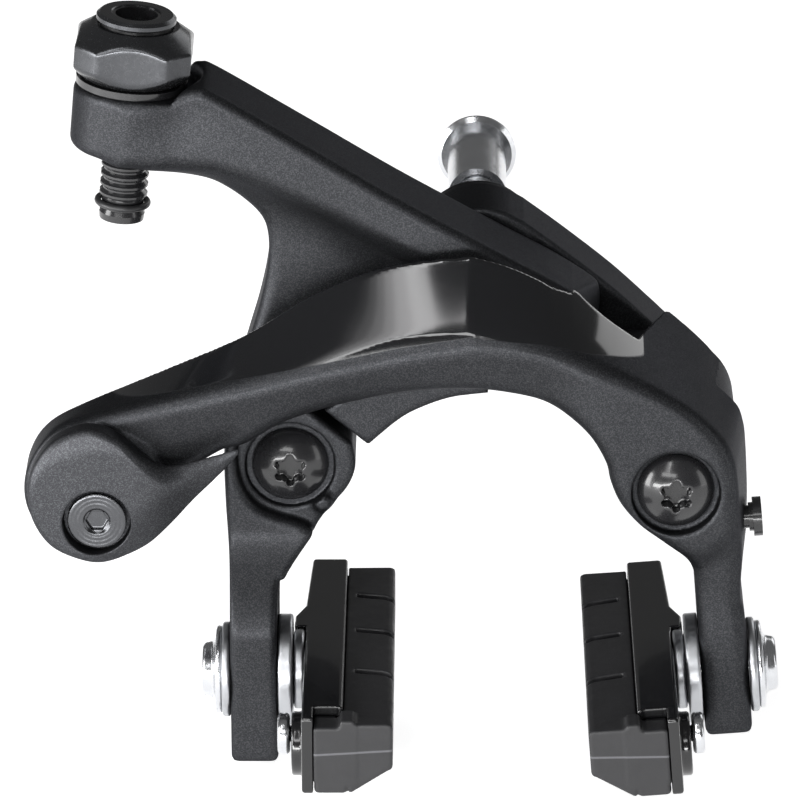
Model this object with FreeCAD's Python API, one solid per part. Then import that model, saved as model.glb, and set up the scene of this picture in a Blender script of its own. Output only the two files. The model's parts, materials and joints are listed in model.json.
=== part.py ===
import FreeCAD, Part
import math
import os

# Front rim brake caliper with two symmetric pivots.
# Frame: origin at the centre of the bridge's rear mounting face, on the stud's axis.
# +Z is up, +X is to the right seen from the front, +Y points rearwards along the stud.
# All sizes are in millimetres. The arms are drawn fully open.

V = FreeCAD.Vector

# --- driving dimensions ---------------------------------------------------------------
PIVOT_SPACING = 50.0
PIVOT_OFFSET = 0.4            # middle of the two pivots, right of the stud
PIVOT_Z = -22.3
LEFT = (PIVOT_OFFSET - PIVOT_SPACING / 2, PIVOT_Z)
RIGHT = (PIVOT_OFFSET + PIVOT_SPACING / 2, PIVOT_Z)
ARM_TRAVEL = 8.0              # degrees each arm turns from open to closed
RUNNING = 0.03                # radial running clearance
LOCATING = 0.01               # radial gap between pieces that don't move

STUD_R = 3.0                  # mounting stud's plain length behind the bridge
STUD_ROOT_R = 3.6             # pressed part inside the bridge
STUD_THREAD_R = 2.7           # its threaded end, inside the sleeve nut
STUD_GRIP_END = 14.6
STUD_END = 28.0
BOSS_R = 7.8
BRIDGE_BACK = -1.5
BRIDGE_FRONT = -11.5
WEB_FRONT = -27.0
RIGHT_LUG_FRONT = -20.0
LUG_R = 8.8

NUT_START = 15.0              # sleeve nut along the stud
NUT_END = 33.0
NUT_BARREL_R = 4.0
NUT_FLANGE_R = 5.45

BOLT_R = 3.0                  # pivot bolts
BOLT_THREAD_R = 2.5
BOLT_HEAD_R = 5.2
BOLT_HEAD_H = 3.0
BUSH_R = 4.5
LEFT_SEAT = -25.5             # floor of the left counterbore
RIGHT_SEAT = -34.3
COUNTERBORE_R = 5.9

UPPER_BACK = -12.3
RIDGE_FRONT = -25.0
HUB_FRONT_LEFT = -28.0
LOWER_BACK = -28.6            # back face of the lower arm's beam
LOWER_RIDGE = -36.0           # its foremost crease
LOWER_LIP = -34.2             # its lower front edge
HUB_BACK_RIGHT = -20.7
SHOULDER_BACK = -12.3

ADJUSTER_TILT = 5.2           # the barrel leans with its top to the right
ADJUSTER = V(-44.75, -18.0, 27.6)
KNOB_ROOM_R = 9.0
HEAD_R = 7.5
HEAD_H = 8.4
THREAD_R = 3.15
THREAD_PITCH = 1.3
BARREL_BOTTOM = -18.4
BARREL_TOP = 9.35
SOCKET_R = 2.75               # for brake cable housing with its ferrule
CAP_R = 5.15

RELEASE = (-49.2, -24.6)      # quick release axis
RELEASE_R = 4.0
LEVER_BACK = -36.3
LEVER_FRONT = -40.4
CABLE_R = 0.8
CABLE_Y = -18.0
ANCHOR = (-52.3, -26.8)       # anchor bolt, beside the cable and off the release axis

ROLLER_R = 3.0
ROLLER_AT = (18.8, 64.0)      # distance and angle from the point midway between pivots
ROLLER_GAP = 0.05

PAD_ARM_T = 6.2               # thickness of the arms at the shoes
PAD_ARM_FRONT = -35.2
PAD_ARM_BACK = -22.8
SHOE_Y = -29.0
LEFT_SHOE = (-26.3, -50.2)    # shoe bolt axis at the arm's inner face
RIGHT_SHOE = (29.3, -50.0)
RIGHT_SPLAY = 4.5             # the open right arm leans outward
LEFT_SLOT = (-4.0, 4.0)       # shoe travel down and up from its place
RIGHT_SLOT = (-1.2, 6.0)
SHOE_BOLT_R = 3.0
SHOE_LENGTH = 52.0
SHOE_TOP = 4.9                # above and below the shoe bolt's axis
SHOE_BOTTOM = -5.9
RETAINER = (-18.5, -0.7)      # pad retaining screw, along and above the bolt's axis


# --- helpers ------------------------------------------------------------------------
def save(shape, name):
    shape.exportStep("parts/" + name + ".step")


def point_xz(p, y=0.0):
    return V(p[0], y, p[1])


def wire_xz(start, *steps):
    """Closed outline in the XZ plane: ('to', p...), ('arc', mid, end) or ('curve', p...)."""
    edges = []
    here = start
    for kind, *points in steps:
        if kind == "to":
            for p in points:
                edges.append(Part.makeLine(point_xz(here), point_xz(p)))
                here = p
        elif kind == "arc":
            edges.append(Part.Arc(point_xz(here), point_xz(points[0]), point_xz(points[1])).toShape())
            here = points[1]
        else:
            spline = Part.BSplineCurve()
            spline.interpolate([point_xz(p) for p in [here] + list(points)])
            edges.append(spline.toShape())
            here = points[-1]
    if math.dist(here, start) > 1e-6:
        edges.append(Part.makeLine(point_xz(here), point_xz(start)))
    return Part.Wire(edges)


def plate(wire, y0, y1):
    solid = Part.Face(wire).extrude(V(0, y1 - y0, 0))
    solid.translate(V(0, y0, 0))
    return solid


def rod_y(centre, radius, y0, y1):
    return Part.makeCylinder(radius, y1 - y0, V(centre[0], y0, centre[1]), V(0, 1, 0))


def ring_y(centre, radius, bore, y0, y1):
    return rod_y(centre, radius, y0, y1).cut(rod_y(centre, bore, y0 - 1, y1 + 1))


def box(x0, x1, y0, y1, z0, z1):
    return Part.makeBox(x1 - x0, y1 - y0, z1 - z0, V(x0, y0, z0))


def turned_profile(points):
    """Solid of revolution about Z from (radius, height) points."""
    corners = [V(r, 0, h) for r, h in points]
    face = Part.Face(Part.makePolygon(corners + corners[:1]))
    return face.revolve(V(0, 0, 0), V(0, 0, 1), 360)


def prism(sides, across_flats, h0, h1):
    """Regular prism about Z."""
    r = across_flats / 2 / math.cos(math.pi / sides)
    turns = [2 * math.pi * (i + 0.5) / sides for i in range(sides)]
    corners = [V(r * math.cos(a), r * math.sin(a), h0) for a in turns]
    return Part.Face(Part.makePolygon(corners + corners[:1])).extrude(V(0, 0, h1 - h0))


def star_socket(h0, h1):
    """Six-lobed socket about Z."""
    tool = Part.makeCylinder(1.75, h1 - h0, V(0, 0, h0))
    for i in range(6):
        a = math.radians(60 * i + 30)
        tool = tool.fuse(Part.makeCylinder(0.55, h1 - h0, V(1.8 * math.cos(a), 1.8 * math.sin(a), h0)))
    return tool


def facing_front(shape, centre, y):
    """Turn a shape built about Z so that its +Z looks to the front, and place it."""
    shape.rotate(V(0, 0, 0), V(1, 0, 0), 90)
    shape.translate(V(centre[0], y, centre[1]))
    return shape


def on_adjuster(shape):
    """Place a shape built about Z on the leaning adjuster axis."""
    shape.rotate(V(0, 0, 0), V(0, 1, 0), ADJUSTER_TILT)
    shape.translate(ADJUSTER)
    return shape


def turned_xz(p, pivot, degrees):
    """A point turned about +Y through a pivot."""
    a = math.radians(degrees)
    x = p[0] - pivot[0]
    z = p[1] - pivot[1]
    return (pivot[0] + x * math.cos(a) + z * math.sin(a), pivot[1] - x * math.sin(a) + z * math.cos(a))


def roller_centre():
    r, angle = ROLLER_AT
    return (PIVOT_OFFSET + r * math.cos(math.radians(angle)), PIVOT_Z + r * math.sin(math.radians(angle)))


def cam_point(degrees):
    """Point of the tongue's cam face that meets the roller when both arms have turned."""
    def path(d):
        return turned_xz(turned_xz(roller_centre(), RIGHT, d), LEFT, d)
    x0, z0 = path(degrees - 0.1)
    x1, z1 = path(degrees + 0.1)
    length = math.hypot(x1 - x0, z1 - z0)
    normal = (-(z1 - z0) / length, (x1 - x0) / length)
    reach = ROLLER_R + ROLLER_GAP
    x, z = path(degrees)
    return (x + normal[0] * reach, z + normal[1] * reach)


# --- bridge and mounting -----------------------------------------------------------------
def bridge():
    rear = wire_xz((-6.5, 4.3), ("arc", (0, BOSS_R), (5.6, 5.4)),
                   ("curve", (11.3, 1.6), (17.9, -3.8), (23.6, -9.3)),
                   ("to", (29.5, -14.6), (33.0, -19.0), (31.5, -28.5), (22.0, -30.2)),
                   ("curve", (17.2, -27.0), (13.5, -20.5), (7.0, -16.2), (0.0, -15.0), (-7.0, -16.2),
                    (-13.0, -19.5), (-16.6, -25.0)),
                   ("to", (-20.0, -29.0), (-29.0, -28.6), (-32.0, -20.0), (-27.0, -14.0)),
                   ("curve", (-18.0, -6.5), (-10.0, 1.0), (-6.5, 4.3)))
    body = plate(rear, BRIDGE_FRONT, BRIDGE_BACK)
    body = body.fuse(rod_y((0, 0), BOSS_R, BRIDGE_FRONT, 0))
    body = body.fuse(rod_y(RIGHT, LUG_R, RIGHT_LUG_FRONT, BRIDGE_BACK))
    web = wire_xz((-20.2, -14.3), ("to", (-14.4, -19.0)),
                  ("curve", (-10.9, -15.9), (-8.2, -14.2), (-3.8, -12.5), (1.2, -11.8)),
                  ("to", (1.2, -5.5), (-7.0, -5.5), (-13.0, -8.5), (-18.6, -13.0)))
    body = body.fuse(plate(web, WEB_FRONT, BRIDGE_FRONT))
    for centre in (LEFT, RIGHT):
        body = body.cut(rod_y(centre, BOLT_THREAD_R + LOCATING, -40, 1))
    body = body.cut(rod_y((0, 0), STUD_ROOT_R + LOCATING, -40, 1))
    body = body.cut(rod_y((0, 0), 6.0, -40, -8.4))
    return body.removeSplitter()


def mounting_stud():
    head = facing_front(prism(6, 8.5, 0, 2.3), (0, 0), -9.5)
    body = head.fuse(rod_y((0, 0), STUD_ROOT_R, -9.5, -0.05))
    body = body.fuse(rod_y((0, 0), STUD_R, -0.05, STUD_GRIP_END))
    body = body.fuse(rod_y((0, 0), STUD_THREAD_R, STUD_GRIP_END, STUD_END))
    return body.removeSplitter()


def mounting_washer():
    return ring_y((0, 0), 5.7, STUD_ROOT_R + LOCATING, -9.45, -8.45)


def sleeve_nut():
    body = rod_y((0, 0), NUT_BARREL_R, NUT_START, NUT_END - 1.4)
    flange = turned_profile([(0, 0), (NUT_FLANGE_R - 0.6, 0), (NUT_FLANGE_R, 0.5), (NUT_FLANGE_R, 1.0),
                             (NUT_FLANGE_R - 0.5, 1.4), (0, 1.4)])
    flange.rotate(V(0, 0, 0), V(1, 0, 0), -90)
    flange.translate(V(0, NUT_END - 1.4, 0))
    body = body.fuse(flange)
    body = body.cut(rod_y((0, 0), STUD_THREAD_R + RUNNING, NUT_START - 1, STUD_END + 0.6))
    socket = prism(6, 5.0, 0, 4.0)
    socket.rotate(V(0, 0, 0), V(1, 0, 0), -90)
    socket.translate(V(0, NUT_END - 3.4, 0))
    return body.cut(socket).removeSplitter()


# --- pivots --------------------------------------------------------------------------
def pivot_bolt(centre, seat, bridge_face):
    dome = Part.makeSphere(6.2, V(0, 0, BOLT_HEAD_H - 6.2))
    head = Part.makeCylinder(BOLT_HEAD_R, BOLT_HEAD_H, V(0, 0, 0)).common(dome)
    head = head.cut(star_socket(1.0, 4.0))
    body = facing_front(head, centre, seat - 0.05)
    body = body.fuse(rod_y(centre, BOLT_R, seat - 0.05, bridge_face - 0.05))
    return body.fuse(rod_y(centre, BOLT_THREAD_R, bridge_face - 0.05, BRIDGE_BACK)).removeSplitter()


def pivot_bushing(centre, y0, y1):
    return ring_y(centre, BUSH_R, BOLT_R + RUNNING, y0, y1)


def thrust_washer(centre, y0, y1):
    return ring_y(centre, 6.6, BOLT_R + RUNNING, y0, y1)


# --- upper arm -------------------------------------------------------------------------
def pad_slot(shoe, travel):
    """Slot through a pad arm, built with the bolt axis at the local origin along X."""
    half = SHOE_BOLT_R + 0.15
    down, up = travel
    slot = box(-20, 20, -half, half, down, up)
    for z in (down, up):
        slot = slot.fuse(Part.makeCylinder(half, 40, V(-20, 0, z), V(1, 0, 0)))
    slot.translate(V(shoe[0], SHOE_Y, shoe[1]))
    return slot


def yz_band(points):
    """Wide slab with the given side profile of (y, z) points, for shaping an arm's depth."""
    corners = [V(-80, y, z) for y, z in points]
    return Part.Face(Part.makePolygon(corners + corners[:1])).extrude(V(160, 0, 0))


def spring_seat_pocket(pivot, y_face):
    return rod_y(spring_foot(pivot), 3.3, y_face - 4.0, y_face + 8.0)


def upper_ridge():
    start = cam_point(-4.0)
    outline = wire_xz((-45.0, 19.5), ("to", (-45.0, 27.5), (-39.2, 27.6)),
                      ("curve", (-37.8, 28.3), (-36.0, 28.95), (-33.6, 28.1)),
                      ("curve", (-22.0, 21.0), (-10.3, 13.9), (1.1, 7.5), (12.2, 1.3)),
                      ("arc", (16.6, -2.6), cam_point(ARM_TRAVEL + 1.5)),
                      ("arc", cam_point(ARM_TRAVEL / 2), start),
                      ("curve", (-4.4, 4.0), (-15.7, 10.8), (-23.9, 14.9), (-32.7, 18.5), (-38.0, 19.5)))
    return plate(outline, RIDGE_FRONT, UPPER_BACK)


def upper_web():
    outline = wire_xz((-38.0, 20.5), ("curve", (-35.0, 17.6), (-30.3, 13.2), (-27.9, 10.4), (-27.2, 7.2), (-27.5, 3.2),
                                      (-28.6, -2.0), (-30.2, -7.5), (-32.0, -14.0), (-33.0, -22.0)),
                      ("to", (-26.0, -22.0), (-21.4, -14.7)),
                      ("curve", (-14.0, -5.5), (-6.0, -0.2), cam_point(-4.0)),
                      ("curve", (-2.0, 6.0), (-12.0, 13.0), (-38.0, 26.0)))
    return plate(outline, -22.0, -13.6)


def upper_leg():
    outline = wire_xz((-33.0, -20.0), ("curve", (-33.0, -27.0), (-32.5, -38.0)),
                      ("to", (-32.5, -60.3)), ("arc", (-32.2, -61.0), (-31.5, -61.3)), ("to", (-27.3, -61.3)),
                      ("arc", (-26.6, -61.0), (-26.3, -60.3)), ("to", (-26.3, -39.0)),
                      ("curve", (-25.3, -35.9), (-22.3, -31.8), (-20.2, -28.6), (-17.6, -25.4)),
                      ("arc", (-16.1, -22.5), (-16.5, -19.3)), ("to", (-21.4, -14.7), (-29.0, -13.5)))
    leg = plate(outline, -40, 0)
    depth = yz_band([(HUB_FRONT_LEFT, -8), (HUB_FRONT_LEFT, -29), (PAD_ARM_FRONT, -43), (PAD_ARM_FRONT, -70),
                     (PAD_ARM_BACK, -70), (PAD_ARM_BACK, -43), (-15.5, -33), (UPPER_BACK, -28),
                     (UPPER_BACK, -8)])
    return leg.common(depth)


def upper_arm():
    head = on_adjuster(Part.makeCylinder(HEAD_R, HEAD_H, V(0, 0, -HEAD_H)))
    body = head.fuse([upper_ridge(), upper_web(), upper_leg()])
    body = body.cut(on_adjuster(Part.makeCylinder(THREAD_R + 0.25, 30, V(0, 0, -20))))
    body = body.cut(on_adjuster(Part.makeCylinder(KNOB_ROOM_R, 12)))
    body = body.cut(rod_y(LEFT, BUSH_R + LOCATING, -40, 0))
    body = body.cut(rod_y(LEFT, COUNTERBORE_R, -40, LEFT_SEAT))
    body = body.cut(pad_slot(LEFT_SHOE, LEFT_SLOT))
    body = body.cut(spring_seat_pocket(LEFT, UPPER_BACK))
    key = on_adjuster(box(-THREAD_R - 0.6, -THREAD_R + 0.35, -0.5, 0.5, -HEAD_H + 0.5, -1.0))
    return body.fuse(key).removeSplitter()


# --- lower arm ----------------------------------------------------------------------------
def lower_beam():
    """Loft of the arched beam. Each station: x, top, crease and lower edge heights."""
    stations = [(-55.0, -14.9, -15.8, -28.0), (-48.0, -11.0, -12.2, -28.0), (-40.0, -7.4, -9.9, -24.2),
                (-33.0, -4.4, -8.3, -17.7),
                (-26.0, -0.3, -6.8, -14.0), (-18.0, 4.3, -5.1, -11.1), (-10.0, 6.9, -3.6, -9.6),
                (-1.2, 7.8, -2.2, -8.9), (7.0, 5.2, -3.2, -9.8), (12.0, 2.9, -4.5, -12.4),
                (16.5, -0.7, -6.1, -17.5)]
    sections = []
    for x, top, crease, low in stations:
        corners = [V(x, LOWER_BACK, top), V(x, LOWER_BACK - 0.8, top), V(x, LOWER_RIDGE, crease),
                   V(x, LOWER_RIDGE, crease - 1.2), V(x, LOWER_LIP, low), V(x, LOWER_BACK, low)]
        sections.append(Part.makePolygon(corners + corners[:1]))
    return Part.makeLoft(sections, True, False)


def above_plane(point, normal):
    """Large block on the side of a plane that its normal points to."""
    block = Part.makeBox(200, 200, 200, V(-100, -100, 0))
    block.Placement = FreeCAD.Placement(point, FreeCAD.Rotation(V(0, 0, 1), normal))
    return block


def lower_hub():
    outline = wire_xz((7.0, -9.8), ("curve", (11.0, -11.7), (14.2, -14.6), (16.3, -18.4)),
                      ("curve", (17.0, -21.2), (18.4, -24.2), (20.9, -27.2), (23.9, -29.6), (27.0, -32.0),
                       (28.2, -34.6), (28.45, -38.0)),
                      ("to", (28.6, -40.0), (34.5, -40.0)),
                      ("curve", (34.4, -37.6), (34.9, -34.6), (35.05, -30.0), (34.95, -26.5), (34.9, -22.0),
                       (34.5, -18.1), (33.4, -15.2), (31.4, -12.4), (29.0, -9.6), (26.0, -6.9), (23.2, -4.7)),
                      ("to", (18.8, -1.0), (16.5, -0.9), (11.5, 2.6), (7.0, 4.0)))
    body = plate(outline, LOWER_RIDGE + 0.3, SHOULDER_BACK)
    body = body.cut(above_plane(V(23.1, LOWER_RIDGE, -8.2), V(0.618, -0.111, 0.778)))
    body = body.cut(box(0, 50, HUB_BACK_RIGHT, 0, -60, PIVOT_Z + LUG_R + 0.4))
    return body.cut(box(0, 22, LOWER_BACK, 0, -30, PIVOT_Z + LUG_R + 0.4).cut(box(15.5, 50, -60, 0, -60, 0)))


def tongue_pocket():
    """Room above the shelf for the upper arm's tongue and its travel."""
    outline = wire_xz((-5.0, 12.0), ("to", (-5.0, -2.6), (4.4, -2.6), (4.8, -5.2), (13.2, -8.6)),
                      ("to", (26.0, -8.6), (26.0, 12.0)))
    pocket = plate(outline, RIDGE_FRONT - 0.5, 0)
    slant = above_plane(V(22.6, -19.0, 0), V(0.95, -0.31, 0.0))
    return pocket.cut(slant)


def lower_leg():
    leg = box(0, PAD_ARM_T, PAD_ARM_FRONT, PAD_ARM_BACK, -7.6, 13.0)
    leg.rotate(V(0, 0, 0), V(0, 1, 0), -RIGHT_SPLAY)
    leg.translate(V(RIGHT_SHOE[0], 0, RIGHT_SHOE[1]))
    return leg


def right_slot():
    slot = pad_slot((0, 0), RIGHT_SLOT)
    slot.rotate(V(0, SHOE_Y, 0), V(0, 1, 0), -RIGHT_SPLAY)
    slot.translate(V(RIGHT_SHOE[0], 0, RIGHT_SHOE[1]))
    return slot


def screw_frame(shape):
    """Place a centring screw part built along +X from the arm's outer face."""
    shape.rotate(V(0, 0, 0), V(0, 1, 0), -RIGHT_SPLAY)
    shape.translate(V(35.25, -26.4, -29.5))
    return shape


def lower_arm():
    shelf = plate(wire_xz((4.0, -11.0), ("to", (4.0, -2.0), (16.0, -4.0), (16.0, -12.6), (11.0, -12.6))),
                  LOWER_BACK, SHOULDER_BACK)
    end = rod_y((-49.7, -21.9), 9.2, LOWER_RIDGE, LOWER_BACK)
    body = lower_beam().fuse([end, lower_hub(), shelf, lower_leg()])
    body = body.cut(tongue_pocket())
    roller = roller_centre()
    body = body.cut(rod_y(roller, ROLLER_R + 0.3, -23.6, -14.4))
    body = body.cut(rod_y(roller, 1.0 + RUNNING, RIDGE_FRONT - 2, -11))
    body = body.cut(rod_y(RIGHT, BUSH_R + LOCATING, -40, 0))
    body = body.cut(rod_y(RIGHT, COUNTERBORE_R, -40, RIGHT_SEAT))
    body = body.cut(rod_y(RELEASE, 5.2 + LOCATING, -40, -20))
    body = body.cut(right_slot())
    body = body.cut(screw_frame(Part.makeCylinder(1.5 + RUNNING, 8, V(-6, 0, 0), V(1, 0, 0))))
    body = body.cut(spring_seat_pocket(RIGHT, HUB_BACK_RIGHT))
    return body.removeSplitter()


def sync_roller():
    return ring_y(roller_centre(), ROLLER_R, 1.0 + RUNNING, -23.4, -14.6)


def roller_pin():
    return rod_y(roller_centre(), 1.0, RIDGE_FRONT - 1.9, SHOULDER_BACK - 0.1)


def centering_screw():
    body = Part.makeCylinder(1.5, 5.8, V(-5.0, 0, 0), V(1, 0, 0))
    body = body.fuse(Part.makeCylinder(1.9, 0.6, V(0.1, 0, 0), V(1, 0, 0)))
    body = body.fuse(Part.makeCylinder(2.6, 1.15, V(0.65, 0, 0), V(1, 0, 0)))
    socket = prism(6, 2.0, 0, 1.0)
    socket.rotate(V(0, 0, 0), V(0, 1, 0), 90)
    socket.translate(V(1.1, 0, 0))
    return screw_frame(body.cut(socket).removeSplitter())


# --- return spring ----------------------------------------------------------------------
def spring_foot(pivot):
    """Where the spring's foot meets an arm, below and outside its pivot."""
    side = -1 if pivot is LEFT else 1
    return (pivot[0] + side * 4.6, pivot[1] - 9.4)


def spring_leg(pivot, foot_y):
    """Wire from the middle clip round a lug and forward to the arm's seat."""
    side = -1 if pivot is LEFT else 1
    plane = BRIDGE_BACK + 0.9
    foot = spring_foot(pivot)
    bend = (side * 12.0, -11.9)
    top = (pivot[0], pivot[1] + 6.4)
    outer = (pivot[0] + side * 6.4, pivot[1])
    path = [Part.makeLine(V(side * 3.0, plane, -11.9), point_xz(bend, plane)),
            Part.Arc(point_xz(bend, plane), point_xz((side * 18.5, -13.5), plane),
                     point_xz(top, plane)).toShape(),
            Part.Arc(point_xz(top, plane), point_xz((pivot[0] + side * 4.5, pivot[1] + 4.5), plane),
                     point_xz(outer, plane)).toShape(),
            Part.makeLine(point_xz(outer, plane), point_xz(foot, plane)),
            Part.makeLine(point_xz(foot, plane), point_xz(foot, foot_y))]
    pieces = []
    for edge in path:
        start = edge.valueAt(edge.FirstParameter)
        tangent = edge.tangentAt(edge.FirstParameter)
        circle = Part.Wire(Part.makeCircle(0.75, start, tangent))
        pieces.append(Part.Wire(edge).makePipeShell([circle], True, False))
        pieces.append(Part.makeSphere(0.75, edge.valueAt(edge.LastParameter)))
    return pieces[0].fuse(pieces[1:])


def return_spring():
    plane = BRIDGE_BACK + 0.9
    bar = Part.makeCylinder(0.75, 6.0, V(-3.0, plane, -11.9), V(1, 0, 0))
    spring = bar.fuse([spring_leg(LEFT, UPPER_BACK - 2.2), spring_leg(RIGHT, HUB_BACK_RIGHT - 2.2)])
    return spring.removeSplitter()


def spring_clip():
    """Plastic clip that holds the middle of the spring to the bridge's rear face."""
    body = box(-2.6, 2.6, BRIDGE_BACK + 0.02, 0.0, -13.9, -9.9)
    return body.cut(Part.makeCylinder(0.78, 20, V(-10, BRIDGE_BACK + 0.9, -11.9), V(1, 0, 0)))


def spring_seat(pivot, y_face):
    """Plastic cup in an arm. Its slot gives the foot room while the arm turns."""
    foot = spring_foot(pivot)
    cup = rod_y(foot, 3.3 - LOCATING, y_face - 3.98, y_face + 0.5)
    slot = rod_y(foot, 0.85, y_face - 3.3, y_face + 3)
    reach = turned_xz(foot, pivot, 8.0 if pivot is LEFT else -8.0)
    slot = slot.fuse(rod_y(reach, 0.85, y_face - 3.3, y_face + 3))
    bar = Part.makeBox(math.dist(foot, reach), 7, 1.7, V(0, 0, -0.85))
    angle = math.degrees(math.atan2(reach[1] - foot[1], reach[0] - foot[0]))
    bar.rotate(V(0, 0, 0), V(0, 1, 0), -angle)
    bar.translate(V(foot[0], y_face - 3.3, foot[1]))
    return cup.cut(slot.fuse(bar)).removeSplitter()


# --- cable adjuster --------------------------------------------------------------------------
def detent_ring():
    body = Part.makeCylinder(7.2, 0.9, V(0, 0, 0.02)).cut(Part.makeCylinder(THREAD_R + 0.3, 3, V(0, 0, -1)))
    return on_adjuster(body)


def adjuster_nut():
    """Square nut with cut corners, coned top and bottom."""
    flats = 15.2
    half = flats / 2
    square = Part.makeBox(flats, flats, 7.2, V(-half, -half, 1.0))
    corners = Part.makeBox(flats * 2, flats * 2, 7.2, V(-flats, -flats, 1.0))
    turned = Part.makeBox(17.3, 17.3, 7.2, V(-8.65, -8.65, 1.0))
    turned.rotate(V(0, 0, 0), V(0, 0, 1), 45)
    body = square.common(corners).common(turned)
    cone = turned_profile([(0, 1.0), (6.7, 1.0), (8.9, 3.0), (8.9, 5.9), (5.5, 8.2), (0, 8.2)])
    body = body.common(cone)
    body = body.cut(Part.makeCylinder(4.9, 3, V(0, 0, 7.2)))
    return on_adjuster(body.cut(Part.makeCylinder(THREAD_R + 0.05, 10, V(0, 0, 0))))


def adjuster_barrel():
    """Threaded tube. The thread is drawn as a stack of ridges one pitch apart."""
    root = THREAD_R - 0.45
    profile = [(1.2, BARREL_BOTTOM), (root + 0.2, BARREL_BOTTOM), (root + 0.3, BARREL_BOTTOM + 0.9),
               (root + 0.05, BARREL_BOTTOM + 1.5), (root + 0.05, BARREL_BOTTOM + 2.9)]
    height = BARREL_BOTTOM + 3.0
    while height < BARREL_TOP - 2.0:
        profile += [(root, height), (THREAD_R, height + 0.4), (THREAD_R, height + 0.7), (root, height + 1.1)]
        height += THREAD_PITCH
    profile += [(THREAD_R, height), (THREAD_R, BARREL_TOP), (SOCKET_R, BARREL_TOP),
                (SOCKET_R, BARREL_TOP - 4.0), (1.2, BARREL_TOP - 4.0)]
    body = turned_profile(profile)
    body.rotate(V(0, 0, 0), V(0, 0, 1), 130)
    keyway = box(-THREAD_R - 1, -THREAD_R + 0.45, -0.6, 0.6, BARREL_BOTTOM - 1, 0.6)
    return on_adjuster(body.cut(keyway).removeSplitter())


def adjuster_cap():
    body = turned_profile([(THREAD_R + LOCATING, 8.3), (CAP_R - 0.5, 8.3), (CAP_R, 8.65), (CAP_R, 9.15),
                           (CAP_R - 0.45, 9.55), (THREAD_R + 0.15, 9.55), (THREAD_R + LOCATING, 9.45)])
    return on_adjuster(body)


def adjuster_seal():
    return on_adjuster(turned_profile([(THREAD_R + LOCATING, 7.5), (4.5, 7.5), (4.7, 7.9), (4.5, 8.28),
                                       (THREAD_R + LOCATING, 8.28)]))


def adjuster_o_ring():
    return on_adjuster(Part.makeTorus(THREAD_R + 0.08, 0.43, V(0, 0, BARREL_BOTTOM + 2.2)))


# --- quick release and cable anchor ---------------------------------------------------
def quick_release_lever():
    outline = wire_xz((-57.9, -20.7), ("curve", (-57.2, -17.6), (-54.6, -13.9), (-50.3, -12.2), (-46.4, -13.4),
                                       (-43.1, -16.3), (-40.2, -17.7), (-36.4, -17.0), (-31.2, -15.0)),
                      ("arc", (-30.3, -15.6), (-30.9, -17.0)),
                      ("curve", (-35.5, -21.8), (-41.4, -27.0), (-45.3, -29.3), (-49.2, -30.1), (-54.4, -28.2),
                       (-57.3, -24.6), (-57.9, -20.7)))
    body = plate(outline, LEVER_FRONT, LEVER_BACK)
    body = body.cut(rod_y(RELEASE, 4.4, LEVER_FRONT - 1, LEVER_FRONT + 2.4))
    return body.cut(rod_y(RELEASE, 1.6 + LOCATING, -45, -30))


def release_screw():
    head = turned_profile([(0, 0), (3.8, 0), (3.8, 1.2), (3.5, 1.5), (0, 1.5)]).cut(prism(6, 2.5, 0.5, 3))
    body = facing_front(head, RELEASE, LEVER_FRONT + 2.35)
    return body.fuse(rod_y(RELEASE, 1.6, LEVER_FRONT + 2.35, LEVER_BACK + 4.0)).removeSplitter()


def release_shaft():
    """Journal through the lower arm with an eccentric anchor boss behind it."""
    body = rod_y(RELEASE, RELEASE_R, LEVER_BACK + 0.05, LOWER_BACK + 0.2)
    body = body.fuse(rod_y((-51.0, -26.6), 5.4, LOWER_BACK + 0.2, CABLE_Y - 0.05))
    body = body.cut(rod_y(RELEASE, 1.6 + LOCATING, -45, LEVER_BACK + 4.2))
    body = body.cut(rod_y(ANCHOR, 2.5 + LOCATING, CABLE_Y - 7, 0))
    return body.cut(cable_line()).removeSplitter()


def cable_line():
    """The straight path of the brake cable, as a tool solid."""
    return on_adjuster(Part.makeCylinder(CABLE_R, 80, V(0, 0, -75)))


def release_bushing():
    return ring_y(RELEASE, 5.2, RELEASE_R + RUNNING, LOWER_RIDGE + 0.1, LOWER_BACK)


def clamp_plate():
    wing = box(ANCHOR[0], ANCHOR[0] + 5.4, CABLE_Y + 0.05, CABLE_Y + 1.6, ANCHOR[1] - 3.0, ANCHOR[1] + 3.0)
    body = rod_y(ANCHOR, 4.2, CABLE_Y + 0.05, CABLE_Y + 1.6).fuse(wing)
    body = body.cut(rod_y(ANCHOR, 2.5 + LOCATING, -30, 0))
    return body.cut(cable_line()).removeSplitter()


def anchor_bolt():
    head = turned_profile([(0, 0), (4.0, 0), (4.0, 3.0), (3.6, 3.4), (0, 3.4)]).cut(prism(6, 4.0, 1.2, 5))
    head.rotate(V(0, 0, 0), V(1, 0, 0), -90)
    head.translate(V(ANCHOR[0], CABLE_Y + 1.65, ANCHOR[1]))
    return head.fuse(rod_y(ANCHOR, 2.5, CABLE_Y - 6.8, CABLE_Y + 1.65)).removeSplitter()


# --- brake shoes, built with the bolt axis along X and the arm's inner face at X = 0 -----
def shoe_bolt():
    shank = Part.makeCylinder(SHOE_BOLT_R, PAD_ARM_T + 2.2 + 4.9, V(-PAD_ARM_T - 2.2, 0, 0), V(1, 0, 0))
    flange = Part.makeCylinder(5.8, 0.9, V(-PAD_ARM_T - 2.2, 0, 0), V(1, 0, 0))
    head = Part.makeCylinder(3.75, 1.6, V(-PAD_ARM_T - 3.8, 0, 0), V(1, 0, 0))
    socket = prism(6, 4.0, 0, 3.0)
    socket.rotate(V(0, 0, 0), V(0, 1, 0), 90)
    socket.translate(V(-PAD_ARM_T - 4.2, 0, 0))
    return shank.fuse([flange, head]).cut(socket).removeSplitter()


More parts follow.
